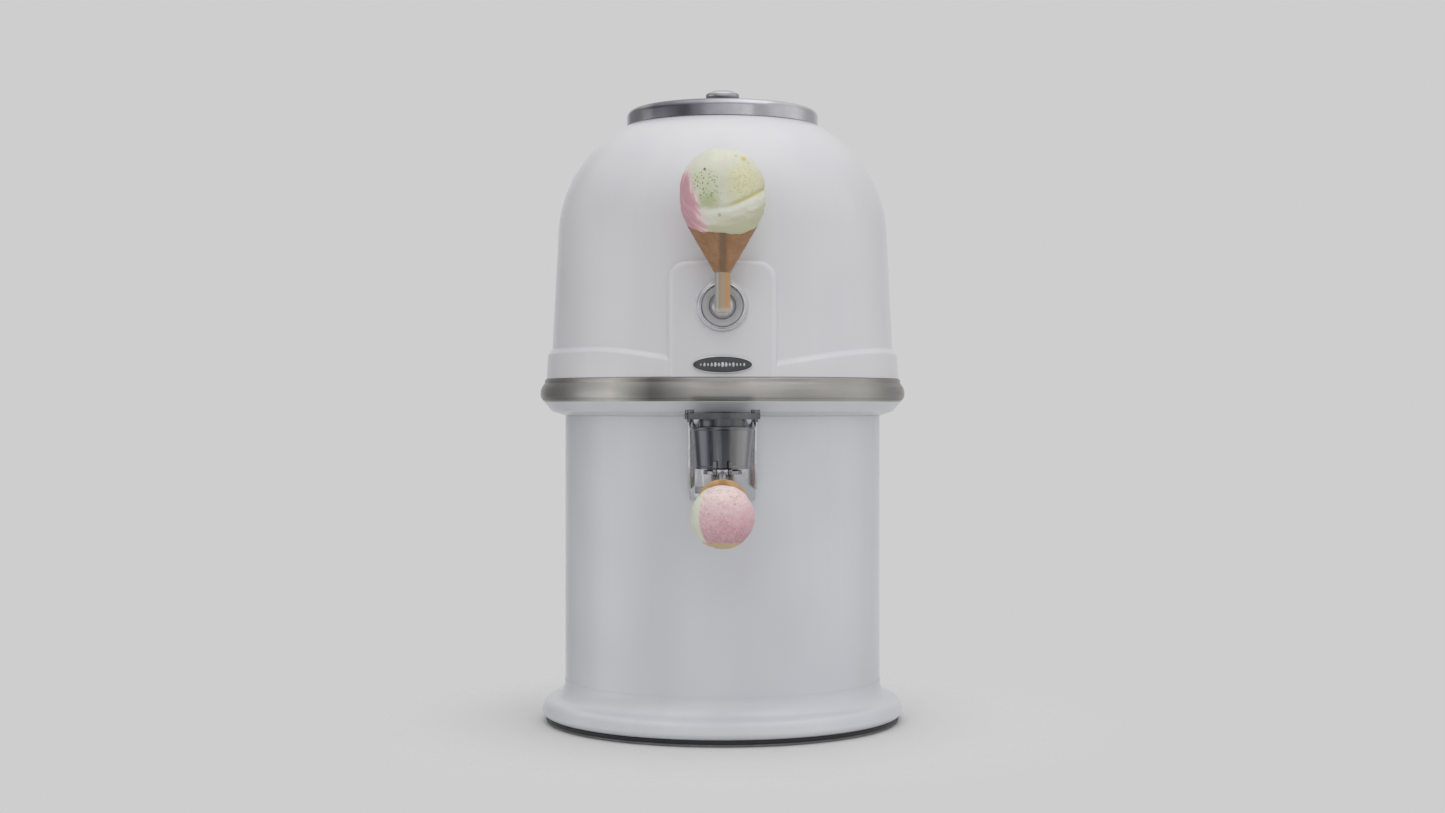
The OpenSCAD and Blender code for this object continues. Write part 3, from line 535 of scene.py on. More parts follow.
def drawScoopResin(name, centre):
    # cast resin hand tinted as three flavours of ice cream: frosty and slightly see-through, pitted on the
    # pistachio, grainy on the lemon, swirled on the berry
    c = scoopLooks
    material, tree, shader = newMaterial(name, Subsurface_Weight=0.18, Subsurface_Scale=0.004,
                                         Specular_IOR_Level=0.4)
    shader.inputs["Subsurface Radius"].default_value = (1.0, 0.8, 0.6)
    place = objectMm(tree, centre)
    x, y, z = axesOf(place)
    cloud = noiseMm(place, 9, 4, 0.6)
    grain = noiseMm(place, 1.5, 3, 0.6)
    pits = spread(cellsMm(place, 1.9) + grain * 0.5, 0.42, 0.68, 1, 0, True)
    colour = mixColour(spread(cloud, 0.3, 0.7), c["mint"], c["mintShade"])
    lemon = spotMask(place, (15, 3), 13, 6, cloud)
    colour = tinted(colour, c["lemon"], lemon, 0.65)
    lemonGrain = lemon * spread(grain, 0.48, 0.64, 0, 0.75)
    colour = mixColour(lemonGrain, colour, c["lemonDeep"])
    green = spotMask(place, (-13.5, 0), 11, 5, cloud)
    colour = tinted(colour, c["pistachio"], green, 0.6)
    deeper = spotMask(place, (-10, -12), 7, 5, grain)
    colour = tinted(colour, c["pistachioMid"], deeper, 0.8)
    greenPits = green * (pits * 0.9)
    colour = mixColour(greenPits, colour, c["pistachioDeep"])
    rim = spread(x, 24, 30, 0, 0.6, True)
    colour = mixColour(rim, colour, c["lemonDeep"])
    fold = foldHeight(x, z)
    wander = (cloud - 0.5) * 5
    under = spread(fold + wander, -1.5, 1.5, 1, 0, True)
    layers = noiseMm(objectMm(tree, centre, (0.3, 0.3, 1.2)), 4.0, 3, 0.55, 0.6)
    depth = spread(fold, -4, -16, 0, 0.9) + (layers - 0.5)
    skirt = mixColour(spread(depth, 0.1, 0.8), c["cream"], c["creamShade"])
    colour = mixColour(under * 0.9, colour, skirt)
    crease = spread(abs(fold), 0.3, 2.2, 0.7, 0, True)
    creaseRight = crease * spread(x, -2, 14, 0.15, 1, True)
    colour = mixColour(creaseRight, colour, c["groove"])
    outward = vectorMaths("LENGTH", vectorMaths("MULTIPLY", place, (1, 0, 1)), output="Value")
    swirled = addNode(tree, "ShaderNodeCombineXYZ", {0: outward, 1: z * 0.14, 2: y * 0.1})
    strand = noiseMm(swirled, 2.4, 3, 0.6, 0.5)
    lean = x + z * 0.34
    lean = lean + (cloud - 0.5) * 10
    pinkSide = spread(lean, -24.0, -16.5, 1, 0, True)
    deepness = spread(lean, -27, -19, 1, 0) + (strand - 0.5) * 3.4
    pink = ramp(deepness, [(0.0, c["berryPale"]), (0.45, c["berry"]), (1.0, c["berryDeep"])])
    colour = mixColour(pinkSide * 0.95, colour, pink)
    for at, radius in (((9.2, 22.2), 0.9), ((14.6, 20.2), 1.7), ((17.6, 17.4), 0.7)):
        colour = mixColour(spotMask(place, at, radius, 0.8, grain) * 0.8, colour, c["amber"])
    colour = mixColour(spotMask(place, (-12.3, 12.2), 0.9, 0.4, grain), colour, c["speck"])
    colour = mixColour(spotMask(place, (-2, -19.5), 1.0, 0.7, grain) * 0.5, colour, c["pistachioDeep"])
    setColour(shader, colour)
    setRoughness(shader, cloud, 0.38, 0.62)
    low = bumpOn(shader, grain, 0.45, 0.3)
    bumpOn(shader, pits * maths("MAXIMUM", green, 0.12), -0.6, 0.5, low)
    return material


foldLine = {"atMiddle": -13.2, "tilt": 0.16, "curl": 0.0105}


def foldAt(x):
    # height over the scoop's centre of the line where the ball folds over the skirt, in millimetres
    return foldLine["atMiddle"] + foldLine["tilt"] * x + foldLine["curl"] * x * x


def foldHeight(x, z):
    # the same line in nodes: the height of a point over it
    bend = x * x * foldLine["curl"]
    line = bend + x * foldLine["tilt"] + foldLine["atMiddle"]
    return z - line


gateLooks = {
    "pale": "#E9DBD8", "rose": "#DAB4BB", "deep": "#C08E99", "cream": "#DCDECD", "rosy": "#CE9CA6",
    "speck": "#B4717E", "wafer": "#CDB48E",
}


def gateScoopResin(name, centre):
    # the same cast resin tinted as strawberry, with painted light and shade: paler on top and towards the
    # left, deeper towards the lower right; with a crescent of mint cream and berry seeds
    c = gateLooks
    material, tree, shader = newMaterial(name, Subsurface_Weight=0.18, Subsurface_Scale=0.004,
                                         Specular_IOR_Level=0.4)
    shader.inputs["Subsurface Radius"].default_value = (1.0, 0.7, 0.6)
    place = objectMm(tree, centre)
    x, _, z = axesOf(place)
    cloud = noiseMm(place, 8, 4, 0.6)
    grain = noiseMm(place, 1.3, 3, 0.6)
    # painted light and shade: the strawberry tint turns paler upwards and to the left, deeper downwards and
    # to the right
    height = z + (cloud - 0.5) * 18
    height = height - x * 0.22
    colour = ramp(spread(height, -19, 20), [(0.0, c["deep"]), (0.42, c["rose"]), (0.95, c["pale"])])
    slanted = objectMm(tree, centre, (0.55, 0.8, 1.0))
    speckle = cellsMm(slanted, 2.4)
    sparse = noiseMm(place, 5, 1)
    seeds = spread(speckle, 0.12, 0.26, 1, 0, True) * spread(sparse, 0.46, 0.6, 0, 0.75)
    mottle = noiseMm(slanted, 1.8, 3, 0.65)
    colour = mixColour(spread(mottle, 0.5, 0.66, 0, 0.6), colour, c["rosy"])
    colour = mixColour(seeds, colour, c["speck"])
    colour = mixColour(spread(grain, 0.5, 0.66, 0, 0.5), colour, c["pale"])
    edge = x + z * z * -0.018 + cloud * 3.0
    crescent = spread(edge, -15.2, -13.6, 1, 0, True)
    colour = mixColour(crescent, colour, c["cream"])
    foot = z + (cloud - 0.5) * 5
    colour = mixColour(spread(foot, -18.6, -17.4, 1, 0, True), colour, c["wafer"])
    setColour(shader, colour)
    setRoughness(shader, cloud, 0.4, 0.62)
    low = bumpOn(shader, grain, 0.45, 0.28)
    bumpOn(shader, seeds, -0.5, 0.3, low)
    return material


stemLooks = {"steel": "#8F8F92", "steelPale": "#A9A6A2", "tan": "#AA957B", "caramel": "#B98C5C",
             "tip": "#C6BCB6"}


def lacqueredStem(name, centre):
    # a turned stick with a clear lacquer, coloured across its width: grey on its left, tan in the middle,
    # caramel on its right, and a pale end
    material, tree, shader = newMaterial(name, Coat_Weight=0.6, Coat_Roughness=0.12)
    x, _, z = axesOf(objectMm(tree, centre))
    grain = noiseMm(objectMm(tree, centre, (1, 1, 0.08)), 0.9, 3)
    x = x + (grain - 0.5)
    colour = ramp(spread(x, -5.5, 5.5),
                  [(0.0, stemLooks["steel"]), (0.18, stemLooks["steelPale"]), (0.3, stemLooks["tan"]),
                   (0.62, stemLooks["tan"]), (0.76, stemLooks["caramel"]), (1.0, stemLooks["caramel"])])
    end = spread(z, -13.5, -9.5, 0.8, 0, True)
    setColour(shader, mixColour(end, colour, stemLooks["tip"]))
    setRoughness(shader, grain, 0.25, 0.45)
    bumpOn(shader, grain, 0.3, 0.08)
    return material


def paperSweep(name, tint):
    # matt studio paper that fades out into the room a little way from the machine
    material, tree, shader = newMaterial(name, Roughness=0.95, Specular_IOR_Level=0.1)
    shader.inputs["Base Color"].default_value = hexColour(tint)
    clear = addNode(tree, "ShaderNodeBsdfTransparent", {})
    fade = spread(vectorMaths("LENGTH", objectMm(tree), output="Value"), 140, 330, 0, 1, True)
    mix = addNode(tree, "ShaderNodeMixShader", {0: fade, 1: Wire(tree, shader.outputs[0]), 2: clear})
    feed(tree, tree.nodes["Material Output"].inputs["Surface"], mix)
    return material


domeEnamel = enamelPaint("stovedEnamelDome", enamelLooks["domeTint"], enamelLooks["domeShade"])
# painted shade: the column, base skirt and waist collar take a copy of the white enamel painted a little
# darker and bluer
shadedColumnEnamel = enamelPaint("stovedEnamelShadedColumn", enamelLooks["columnPaintedShadeTint"], enamelLooks["columnPaintedShadeDeep"])
greyEnamel = enamelPaint("stovedEnamelGrey", "#A9ABB0", "#9FA1A7")
blackEnamel = mouldedPlastic("powderCoatBlack", "#1B1B1D", "#232326", 0.4, 0.55, 0.8, 0.08)
# the band and the lid carry painted reflections, laid on by their ramps
bandSteel = brushedSteel("paintedReflectionsStainlessBand", "#E6E4E1", "#DBD9D6", "Z", 0.40, 0.52, 0.01, 0.93, 0.25,
                         139, bandPaintedReflections)
sheetSteel = brushedSteel("brushedStainlessSheet", "#B9BBBD", "#A7A9AB", "Y", 0.3, 0.5)
lidSteel = platedMetal("paintedReflectionsStainlessLid", "#F0EFF2", "#E6E5EA", 0.16, 0.26, 14, 74.4, lidPaintedReflections)
knobSteel = platedMetal("turnedKnobSteel", "#BDBDC0", "#AFAFB3", 0.34, 0.46, 10)
brightChrome = platedMetal("brightChromePlate", "#D6D7DA", "#C3C4C9", 0.05, 0.14)
pivotChrome = platedMetal("satinChromeCap", "#C9C9CB", "#BCBCBF", 0.26, 0.40, 8)
plateChrome = platedMetal("handledChromePlate", "#C3C4C8", "#B3B4B9", 0.16, 0.30, 10)
# painted shade: a darker copy of the chrome for the gate lever, for the shade under the spout cup
shadedLeverChrome = platedMetal("shadedCastChromeLever", "#97979B", "#858589", 0.16, 0.30, 8)
darkChrome = smokedChrome("smokedChromePlate")
greyRubber = rubberCompound("nitrileRubberGrey", "#6D6D70", "#808083")
blackRubber = rubberCompound("nitrileRubberBlack", "#1C1C1D", "#29292A")
rimSatin = platedMetal("satinBadgeRim", "#D9DADC", "#CBCCD0", 0.42, 0.55, 8)
springSteel = brushedSteel("drawnSpringSteel", "#A9ABAE", "#8F9195", "Z", 0.25, 0.4)
fastenerChrome = platedMetal("smokedFastenerChrome", "#77777B", "#68686C", 0.2, 0.34, 6)
siliconeSeal = mouldedPlastic("pressedSiliconeSeal", "#D3D4D6", "#C7C8CB", 0.5, 0.65)
badgeInlay = mouldedPlastic("filledBadgeEnamel", "#34373B", "#2B2D31", 0.12, 0.25, 1.5, 0.02,
                            Coat_Weight=0.5)
acetal = mouldedPlastic("machinedAcetal", "#E4E4DF", "#D8D8D2", 0.35, 0.5)
blackNylon = mouldedPlastic("mouldedNylonBlack", "#202022", "#2A2A2C", 0.4, 0.6)
foamJacket = mouldedPlastic("blownFoamJacket", "#DCC894", "#C9B27C", 0.8, 0.95, 2.2, 0.6)
copperTube = brushedSteel("drawnCopperTube", "#C77F55", "#A9643F", "Y", 0.2, 0.35)
finAluminium = brushedSteel("rolledAluminiumFin", "#C4C6C8", "#B0B3B6", "Z", 0.3, 0.45)
boardLaminate = mouldedPlastic("solderMaskedLaminate", "#1F5B36", "#17492B", 0.3, 0.45)
# painted shade: the star nozzle is coloured mid grey for the shade under the spout cup
shadedNozzlePlastic = mouldedPlastic("shadedMouldedNozzleNylon", "#A4A5A7", "#95969A", 0.3, 0.45)
sealPlastic = mouldedPlastic("pressedPivotSeal", "#C6C6C8", "#B9B9BC", 0.35, 0.5, 1.2, 0.04)

scoopRadius = 30.0
scoopCentre = middleMm("scoop_grip")
scoopCentre.z = boxMm("scoop_grip")[1].z - scoopRadius
gateCentre = middleMm("gate_scoop_grip")
coneMiddle = middleMm("cone_grip")
drawResin = drawScoopResin("castResinThreeFlavour", scoopCentre)
gateResin = gateScoopResin("castResinStrawberry", gateCentre)
waferResin = bakedWaferPlastic("castResinWafer", coneMiddle, coneLooks["pale"], coneLooks["toast"],
                               coneLooks["streak"])
gateWafer = bakedWaferPlastic("castResinGateWafer", middleMm("gate_cone_grip"), "#DFC296", "#CFAE7C",
                              "#BD9A6C")
stemLacquer = lacqueredStem("lacqueredStickStem", (0, 0, boxMm("draw_lever")[1].z - 44))
print("materials made")

slotMaterials = {"white_enamel": domeEnamel, "grey_enamel": greyEnamel, "black_enamel": blackEnamel,
                 "brushed_band": bandSteel, "polished_steel": brightChrome, "dark_chrome": darkChrome,
                 "steel_sheet": sheetSteel, "copper_tube": copperTube, "foam": foamJacket,
                 "food_plastic": acetal, "black_plastic": blackNylon, "grey_rubber": greyRubber,
                 "black_rubber": blackRubber, "silicone": siliconeSeal, "badge_face": badgeInlay,
                 "cone_plastic": waferResin, "scoop_plastic": drawResin, "gate_scoop_plastic": gateResin,
                 "board_green": boardLaminate, "aluminium_fins": finAluminium}
for nodeName, cadPiece in frame["nodes"].items():
    cadPiece.data.materials.clear()
    cadPiece.data.materials.append(slotMaterials[slotOf[nodeName]])


# ---------- base, column and waist ----------

def ringFrom(node, innerRadius, rounding, material, name):
    low, high = boxMm(node)
    corners = [(innerRadius, low.z, 0.4), (high.x, low.z, rounding), (high.x, high.z, rounding),
               (innerRadius, high.z, 0.4)]
    return finish(name, spunMesh(roundedOutline(corners, 3), 200), material, node)


baseShape = {"footInner": 112, "footRounding": 2.2}
ringFrom("foot_ring", baseShape["footInner"], baseShape["footRounding"], greyRubber, "footRing")

panLow, panHigh = boxMm("base_pan")
panShape = {"edge": 137.0, "floor": 3.0, "wallOuter": 120, "wallInner": 117.1}
panEdge, panTop = panShape["edge"], panLow.z + panShape["floor"]
wallOuter, wallInner = panShape["wallOuter"], panShape["wallInner"]
pan = spunMesh(roundedOutline([(0, panLow.z), (panEdge, panLow.z, 0.8), (panEdge, panTop, 0.8),
                               (wallOuter, panTop), (wallOuter, panHigh.z, 0.5), (wallInner, panHigh.z, 0.5),
                               (wallInner, panTop), (0, panTop)], 3), 200)
pan = finish("basePan", pan, blackEnamel, "base_pan")
ventShape = {"middle": 60, "pitch": 9, "halfWidth": 2, "halfLength": 22, "eachSide": 3}
ventMiddles = [ventShape["middle"] + ventShape["pitch"] * i
               for i in range(-ventShape["eachSide"], ventShape["eachSide"] + 1)]
ventSlots = [boxMesh((x - ventShape["halfWidth"], -ventShape["halfLength"], -1),
                     (x + ventShape["halfWidth"], ventShape["halfLength"], 8)) for x in ventMiddles]
drilled(pan, *ventSlots)

skirtShape = {"beadHeight": 9.0, "beadRadius": 4.0, "innerRadius": 122.2, "flareRadius": 14.0,
              "flareOut": 14.2, "flareHeight": 31.6, "rollIn": 8.3, "rollHeight": 10.9, "rollRadius": 7.7}
skirtLow, skirtHigh = boxMm("base_skirt")
beadEdge = skirtHigh.x
beadCentre = (beadEdge - skirtShape["beadRadius"], skirtShape["beadHeight"])
skirtOutline = [(skirtShape["innerRadius"], skirtLow.z + 0.1), (beadEdge - 3.0, skirtLow.z + 0.1)]
skirtOutline += arcPoints(beadCentre, skirtShape["beadRadius"], -58, 18, 9)
rollCentre = (beadEdge - skirtShape["rollIn"], skirtShape["rollHeight"])
skirtOutline += arcPoints(rollCentre, skirtShape["rollRadius"], 22, 84, 12)
flareCentre = (skirtShape["innerRadius"] + skirtShape["flareOut"], skirtShape["flareHeight"])
skirtOutline += arcPoints(flareCentre, skirtShape["flareRadius"], 236, 182, 14)
skirtOutline += [(skirtShape["innerRadius"] + 0.2, skirtHigh.z), (skirtShape["innerRadius"], skirtHigh.z)]
finish("baseSkirt", spunMesh(skirtOutline, 220), shadedColumnEnamel, "base_skirt")

columnLow, columnHigh = boxMm("column_shell")
columnWall = 2.0
columnOuter = columnHigh.x
column = spunMesh(roundedOutline([(columnOuter - columnWall, columnLow.z), (columnOuter, columnLow.z),
                                  (columnOuter, columnHigh.z), (columnOuter - columnWall, columnHigh.z)]),
                  220)
column = finish("columnShell", column, shadedColumnEnamel, "column_shell")
outletShape = {"radius": 8.3, "level": 222.0}
outletHole = frontHole(outletShape["radius"], 105, 130, outletShape["level"], 32)
panelLow, panelHigh = boxMm("rear_panel")
powerLow, powerHigh = boxMm("power_plate")
drilled(column, outletHole, boxMesh((-50, 90, panelLow.z + 8), (50, 130, panelHigh.z - 8)),
        boxMesh((powerLow.x - 0.3, 90, powerLow.z - 0.3), (powerHigh.x + 0.3, 130, powerHigh.z + 0.3)))

collarShape = {"inner": 118.0, "lip": (columnOuter + 1.0, 236.3), "slopeStart": (132.2, 239.3),
               "top": 247.05}
collarHigh = boxMm("waist_collar")[1]
collarEdge = collarHigh.x
collarOutline = roundedOutline([(columnOuter + 0.1, 236.1), (columnOuter + 0.6, 236.1),
                                (*collarShape["lip"], 0.2), (*collarShape["slopeStart"], 2.4),
                                (collarEdge - 0.3, 246.4, 0.6), (collarEdge - 0.5, collarShape["top"])], 4)
collarOutline += [(135.9, collarShape["top"]), (135.9, collarHigh.z), (collarShape["inner"], collarHigh.z),
                  (collarShape["inner"], columnHigh.z + 0.3), (columnOuter + 0.1, columnHigh.z + 0.3)]
finish("waistCollar", spunMesh(collarOutline, 220), shadedColumnEnamel, "waist_collar")

bandShape = {"arcCentre": (130.4, 252.9), "arcRadius": 11}
bandLow, bandHigh = boxMm("trim_band")
bandOutline = roundedOutline([(136, bandLow.z), (136.4, bandLow.z), (138.8, bandLow.z + 1.1, 0.5),
                              (140.5, bandLow.z + 2.9, 0.8)], 3)
bandOutline += arcPoints(bandShape["arcCentre"], bandShape["arcRadius"], -16, 41, 18)
bandOutline += roundedOutline([(138.1, 260.9), (138.1, 262.6, 0.5), (137.6, bandHigh.z, 0.5),
                               (136, bandHigh.z)], 4)
finish("steelBand", spunMesh(bandOutline, 240), bandSteel, "trim_band")
print("base, column and waist made")


# ---------- dome and its front pad ----------

domeShape = {"shoulderCentre": (30.3, 373.3), "shoulderRadius": 97.3, "wall": 3.0, "neck": 71.8,
             "neckInner": 69.0, "dipLeft": (-90.0, -37.0, 7.5), "dipRight": (120.0, 38.0, 11.5)}


def domeOutline():
    s = domeShape
    low, high = boxMm("dome_housing")
    outer = roundedOutline([(132.8, low.z), (135.8, low.z), (135.8, 264), (136.8, 264.2, 0.4),
                            (135.5, 283.2, 3.2), (132.2, 286.8, 3.0), (129.8, 333)], 6)
    outer += arcPoints(s["shoulderCentre"], s["shoulderRadius"], 2.8, 62.5, 40)
    crown = outer[-1][1]
    outer += roundedOutline([(74, crown), (s["neck"], crown, 0.6), (s["neck"], high.z, 0.6),
                             (s["neckInner"], high.z, 0.6), (s["neckInner"], crown - 2.7)], 3)[1:]
    outer += arcPoints(s["shoulderCentre"], s["shoulderRadius"] - s["wall"], 62.5, 2.8, 24)
    outer += [(129.0, 288), (132.8, 281)]
    return outer


def dipRidge(bm):
    # the ledge round the dome's foot sinks towards the pad on both sides of it
    s = domeShape
    for vert in bm.verts:
        x, y, z = vert.co
        if y > 0 or z < 264.6 or z > 318 or math.hypot(x, y) < 130:
            continue
        start, end, depth = s["dipLeft"] if x < 0 else s["dipRight"]
        near = min(max((x - start) / (end - start), 0.0), 1.0) ** 1.35
        high = smoothStep(264.6, 280, z) * (1 - smoothStep(290, 318, z))
        vert.co.z -= depth * near * high


leverLevel = middleMm("lever_pin").z
leverHoleRadius = 13.0
dome = spunMesh(domeOutline(), 260)
dipRidge(dome)
dome = finish("domeHousing", dome, domeEnamel, "dome_housing")
drilled(dome, frontHole(leverHoleRadius, 110, 150, leverLevel, 48))

padShape = {"radius": 137.8, "thickness": 12.0, "corner": 14.0, "edge": 5.0, "stripMm": 2.6}


def archedPad():
    low, high = boxMm("front_pad")
    halfWidth = high.x
    corner = padShape["corner"]
    outline = [(-halfWidth, low.z), (halfWidth, low.z)]
    outline += arcPoints((halfWidth - corner, high.z - corner), corner, 0, 90, 10)
    outline += arcPoints((-halfWidth + corner, high.z - corner), corner, 90, 180, 10)
    bm = raisedSlab(outline, padShape["thickness"], padShape["edge"], 8, low.z + 1)
    sliced(bm, halfWidth, padShape["stripMm"])
    radius = padShape["radius"]
    for vert in bm.verts:
        depth = padShape["thickness"] + vert.co.y          # 0 on the front face
        ring = radius - depth
        vert.co.y = -math.sqrt(ring * ring - vert.co.x ** 2)
    return bm


pad = finish("frontPad", archedPad(), domeEnamel, "front_pad", sharpDeg=50)
drilled(pad, frontHole(leverHoleRadius, 110, 150, leverLevel, 48))
bossSeat = -boxMm("front_pad")[0].y
toBoss = Matrix.Translation((0, 0, leverLevel)) @ facingFront
seatRing = spunMesh(roundedOutline([(leverHoleRadius, bossSeat - 4), (19.8, bossSeat - 4),
                                    (19.8, bossSeat, 1.2), (leverHoleRadius, bossSeat)], 4), 96)
finish("bossSeat", placed(seatRing, toBoss), domeEnamel, body="cabinet")
print("dome and pad made")


# ---------- badge ----------

badgeShape = {"rimWidth": 0.9, "rimHeight": 1.8, "plateInset": 1.05, "plateHeight": 1.1, "steps": 48,
              "stripMm": 2.5, "beadsEachSide": 6, "beadPitch": 2.55, "beadRadius": 0.8}


def wrapped(bm, radius, level):
    # bends a flat relief, drawn in X and Z with its height along -Y, round the pad
    for vert in bm.verts:
        ring = radius - vert.co.y
        angle = vert.co.x / radius
        vert.co = Vector((ring * math.sin(angle), -ring * math.cos(angle), vert.co.z + level))
    return bm


def ovalSlab(inset, height, rounding):
    # an oval as large as the badge less inset all round
    steps = badgeShape["steps"]
    turns = [math.tau * i / steps for i in range(steps)]
    outline = [((ovalHalf[0] - inset) * math.cos(turn),
                (ovalHalf[1] - inset) * math.sin(turn)) for turn in turns]
    return sliced(raisedSlab(outline, height, rounding), ovalHalf[0], badgeShape["stripMm"])


badgeLow, badgeHigh = boxMm("badge_rim")
badgeLevel = (badgeLow.z + badgeHigh.z) / 2
ovalHalf = (badgeHigh.x, (badgeHigh.z - badgeLow.z) / 2)
badgeSeat = padShape["radius"] + 0.1
rimOuter = ovalSlab(0, badgeShape["rimHeight"], 0.5)
rim = finish("badgeRim", wrapped(rimOuter, badgeSeat, badgeLevel), rimSatin, "badge_rim", sharpDeg=60)
well = placed(ovalSlab(badgeShape["rimWidth"], 6, 0.01), Matrix.Translation((0, 3, 0)))
drilled(rim, wrapped(well, badgeSeat, badgeLevel))
plate = ovalSlab(badgeShape["plateInset"], badgeShape["plateHeight"], 0.25)
finish("badgePlate", wrapped(plate, badgeSeat, badgeLevel), badgeInlay, "badge_plate", sharpDeg=60)
beads = bmesh.new()
for i in range(-badgeShape["beadsEachSide"], badgeShape["beadsEachSide"] + 1):
    size = badgeShape["beadRadius"] * (1.5 - 0.11 * abs(i) + 0.22 * math.sin(2.3 * i + 0.6))
    spot = Matrix.Translation((i * badgeShape["beadPitch"], -badgeShape["plateHeight"], 0))
    bmesh.ops.create_uvsphere(beads, u_segments=16, v_segments=10, radius=size,
                              matrix=spot @ Matrix.Diagonal((1.0, 0.55, 1.6, 1)))
finish("badgeBeads", wrapped(beads, badgeSeat, badgeLevel), pivotChrome, body="cabinet")
print("badge made")


# ---------- lid ----------

lidShape = {"wall": 2.0, "edge": 5.5, "studHole": 4.2}
lidLow, lidHigh = boxMm("lid_shell")
lidEdge = lidHigh.x
roofRim = lidHigh.z - 1.1
lidOutline = [(lidEdge - lidShape["wall"], lidLow.z), (lidEdge - 0.4, lidLow.z), (lidEdge, lidLow.z + 0.4)]
roofCorner = (lidEdge - lidShape["edge"], roofRim - lidShape["edge"])
lidOutline += arcPoints(roofCorner, lidShape["edge"], 0, 84, 14)
lidOutline += [(60, roofRim + 0.35), (45, roofRim + 0.75), (30, roofRim + 1.0), (15, roofRim + 1.08),
               (lidShape["studHole"], lidHigh.z), (lidShape["studHole"], lidHigh.z - 2.2),
               (68.4, roofRim - 1.9)]
lidOutline += arcPoints(roofCorner, lidShape["edge"] - lidShape["wall"], 84, 0, 8)
finish("lidShell", spunMesh(lidOutline, 220), lidSteel, "lid_shell")

sealLow, sealHigh = boxMm("lid_seal")
sealOutline = roundedOutline([(66.5, sealLow.z, 1), (70, sealLow.z, 1), (70, sealHigh.z, 0.4),
                              (66.5, sealHigh.z, 0.4)], 4)
finish("lidSeal", spunMesh(sealOutline, 160), siliconeSeal, "lid_seal")

knobLow, knobHigh = boxMm("lid_knob")
knobEdge = knobHigh.x
knobFoot = lidHigh.z + 0.05
knobOutline = roundedOutline([(0, knobLow.z), (4, knobLow.z, 0.4), (4, knobFoot), (8.2, knobFoot, 0.3),
                              (6.2, knobFoot + 2, 1.5), (5.7, knobFoot + 5.5, 2), (9.6, 482.6, 1.5),
                              (knobEdge, 483.2, 1.4), (knobEdge, 486.4, 2.2), (7.5, knobHigh.z - 0.35, 3),
                              (0, knobHigh.z)], 6)
finish("lidKnob", spunMesh(knobOutline, 96), knobSteel, "lid_knob")
print("lid made")


# ---------- boss and draw handle ----------

bossShape = {"flange": 18.4, "flangeHeight": 3.0, "cupHeight": 7.6, "sealInner": 12.25, "sealOuter": 12.9,
             "capRadius": 12.0, "capWall": 0.7}
middleBoss = -middleMm("lever_pin").y
flangeTop = bossSeat + bossShape["flangeHeight"]
flange = spunMesh(roundedOutline([(leverHoleRadius, bossSeat + 0.02),
                                  (bossShape["flange"], bossSeat + 0.02, 0.4),
                                  (bossShape["flange"], flangeTop, 1.5), (15.9, flangeTop, 0.5),
                                  (leverHoleRadius, bossSeat + 2.6, 0.4)], 5), 120)
finish("bossFlange", placed(flange, toBoss), pivotChrome, "boss_flange")
cup = spunMesh(roundedOutline([(14.6, flangeTop), (16.4, flangeTop, 0.6), (16.7, bossSeat + 6.4, 1.2),
                               (15.9, bossSeat + bossShape["cupHeight"], 0.8), (15.0, bossSeat + 7.0, 0.6),
                               (14.7, bossSeat + 4.6, 1.0)], 5), 120)
finish("bossCup", placed(cup, toBoss), brightChrome, "boss_cup")
sealInner, sealOuter = bossShape["sealInner"], bossShape["sealOuter"]
sealCurl = arcPoints((0, middleBoss), sealInner, 38, 0, 12)
seal = roundedOutline([(sealInner, 127.5), (sealOuter, 127.5, 0.2), (sealOuter, bossSeat + 3.05),
                       (14.6, bossSeat + 3.1), (14.75, bossSeat + 5.8, 0.6), (12.4, bossSeat + 5.2)], 5)
finish("pivotSeal", placed(spunMesh(seal + sealCurl, 120), toBoss), sealPlastic, body="cabinet")
capOuter, capInner = bossShape["capRadius"], bossShape["capRadius"] - bossShape["capWall"]
ballCap = [(0, capOuter), (0, capInner)] + arcPoints((0, 0), capInner, 90, 2, 20)
ballCap += arcPoints((0, 0), capOuter, 2, 90, 24)[:-1]
pivot = Matrix.Translation((0, -middleBoss, leverLevel)) @ facingFront
finish("pivotCap", placed(spunMesh(ballCap, 96), pivot), pivotChrome, body="draw_handle")
softened("lever_clevis", brightChrome, 0.5)
softened("lever_pin", brightChrome, 0.4)

leverLow, leverHigh = boxMm("draw_lever")
stemAxis = middleMm("cone_grip").y
coneFoot = boxMm("cone_grip")[0].z
stemShape = {"radius": 5.5, "tongueHalf": 4.0, "armHalf": 2.5}
stem = spunMesh(roundedOutline([(0, leverLow.z), (stemShape["radius"], leverLow.z, 2.6),
                                (stemShape["radius"], coneFoot), (0, coneFoot)], 6), 64)
placed(stem, Matrix.Translation((0, stemAxis, 0)))
finish("leverStem", stem, stemLacquer, "draw_lever")
half, armHalf = stemShape["tongueHalf"], stemShape["armHalf"]
tongue = boxMesh((-half, stemAxis + 2, leverLevel - half), (half, -127, leverLevel + half), 1.2, 4)
arm = boxMesh((-armHalf, -128.5, leverLevel - armHalf), (armHalf, leverHigh.y, leverLevel + armHalf), 0.8, 3)
joined(tongue, arm)
finish("leverTongue", tongue, brightChrome, body="draw_handle")

springShape = {"turns": 4, "wire": 0.6, "stepsPerTurn": 32, "wireSides": 10}


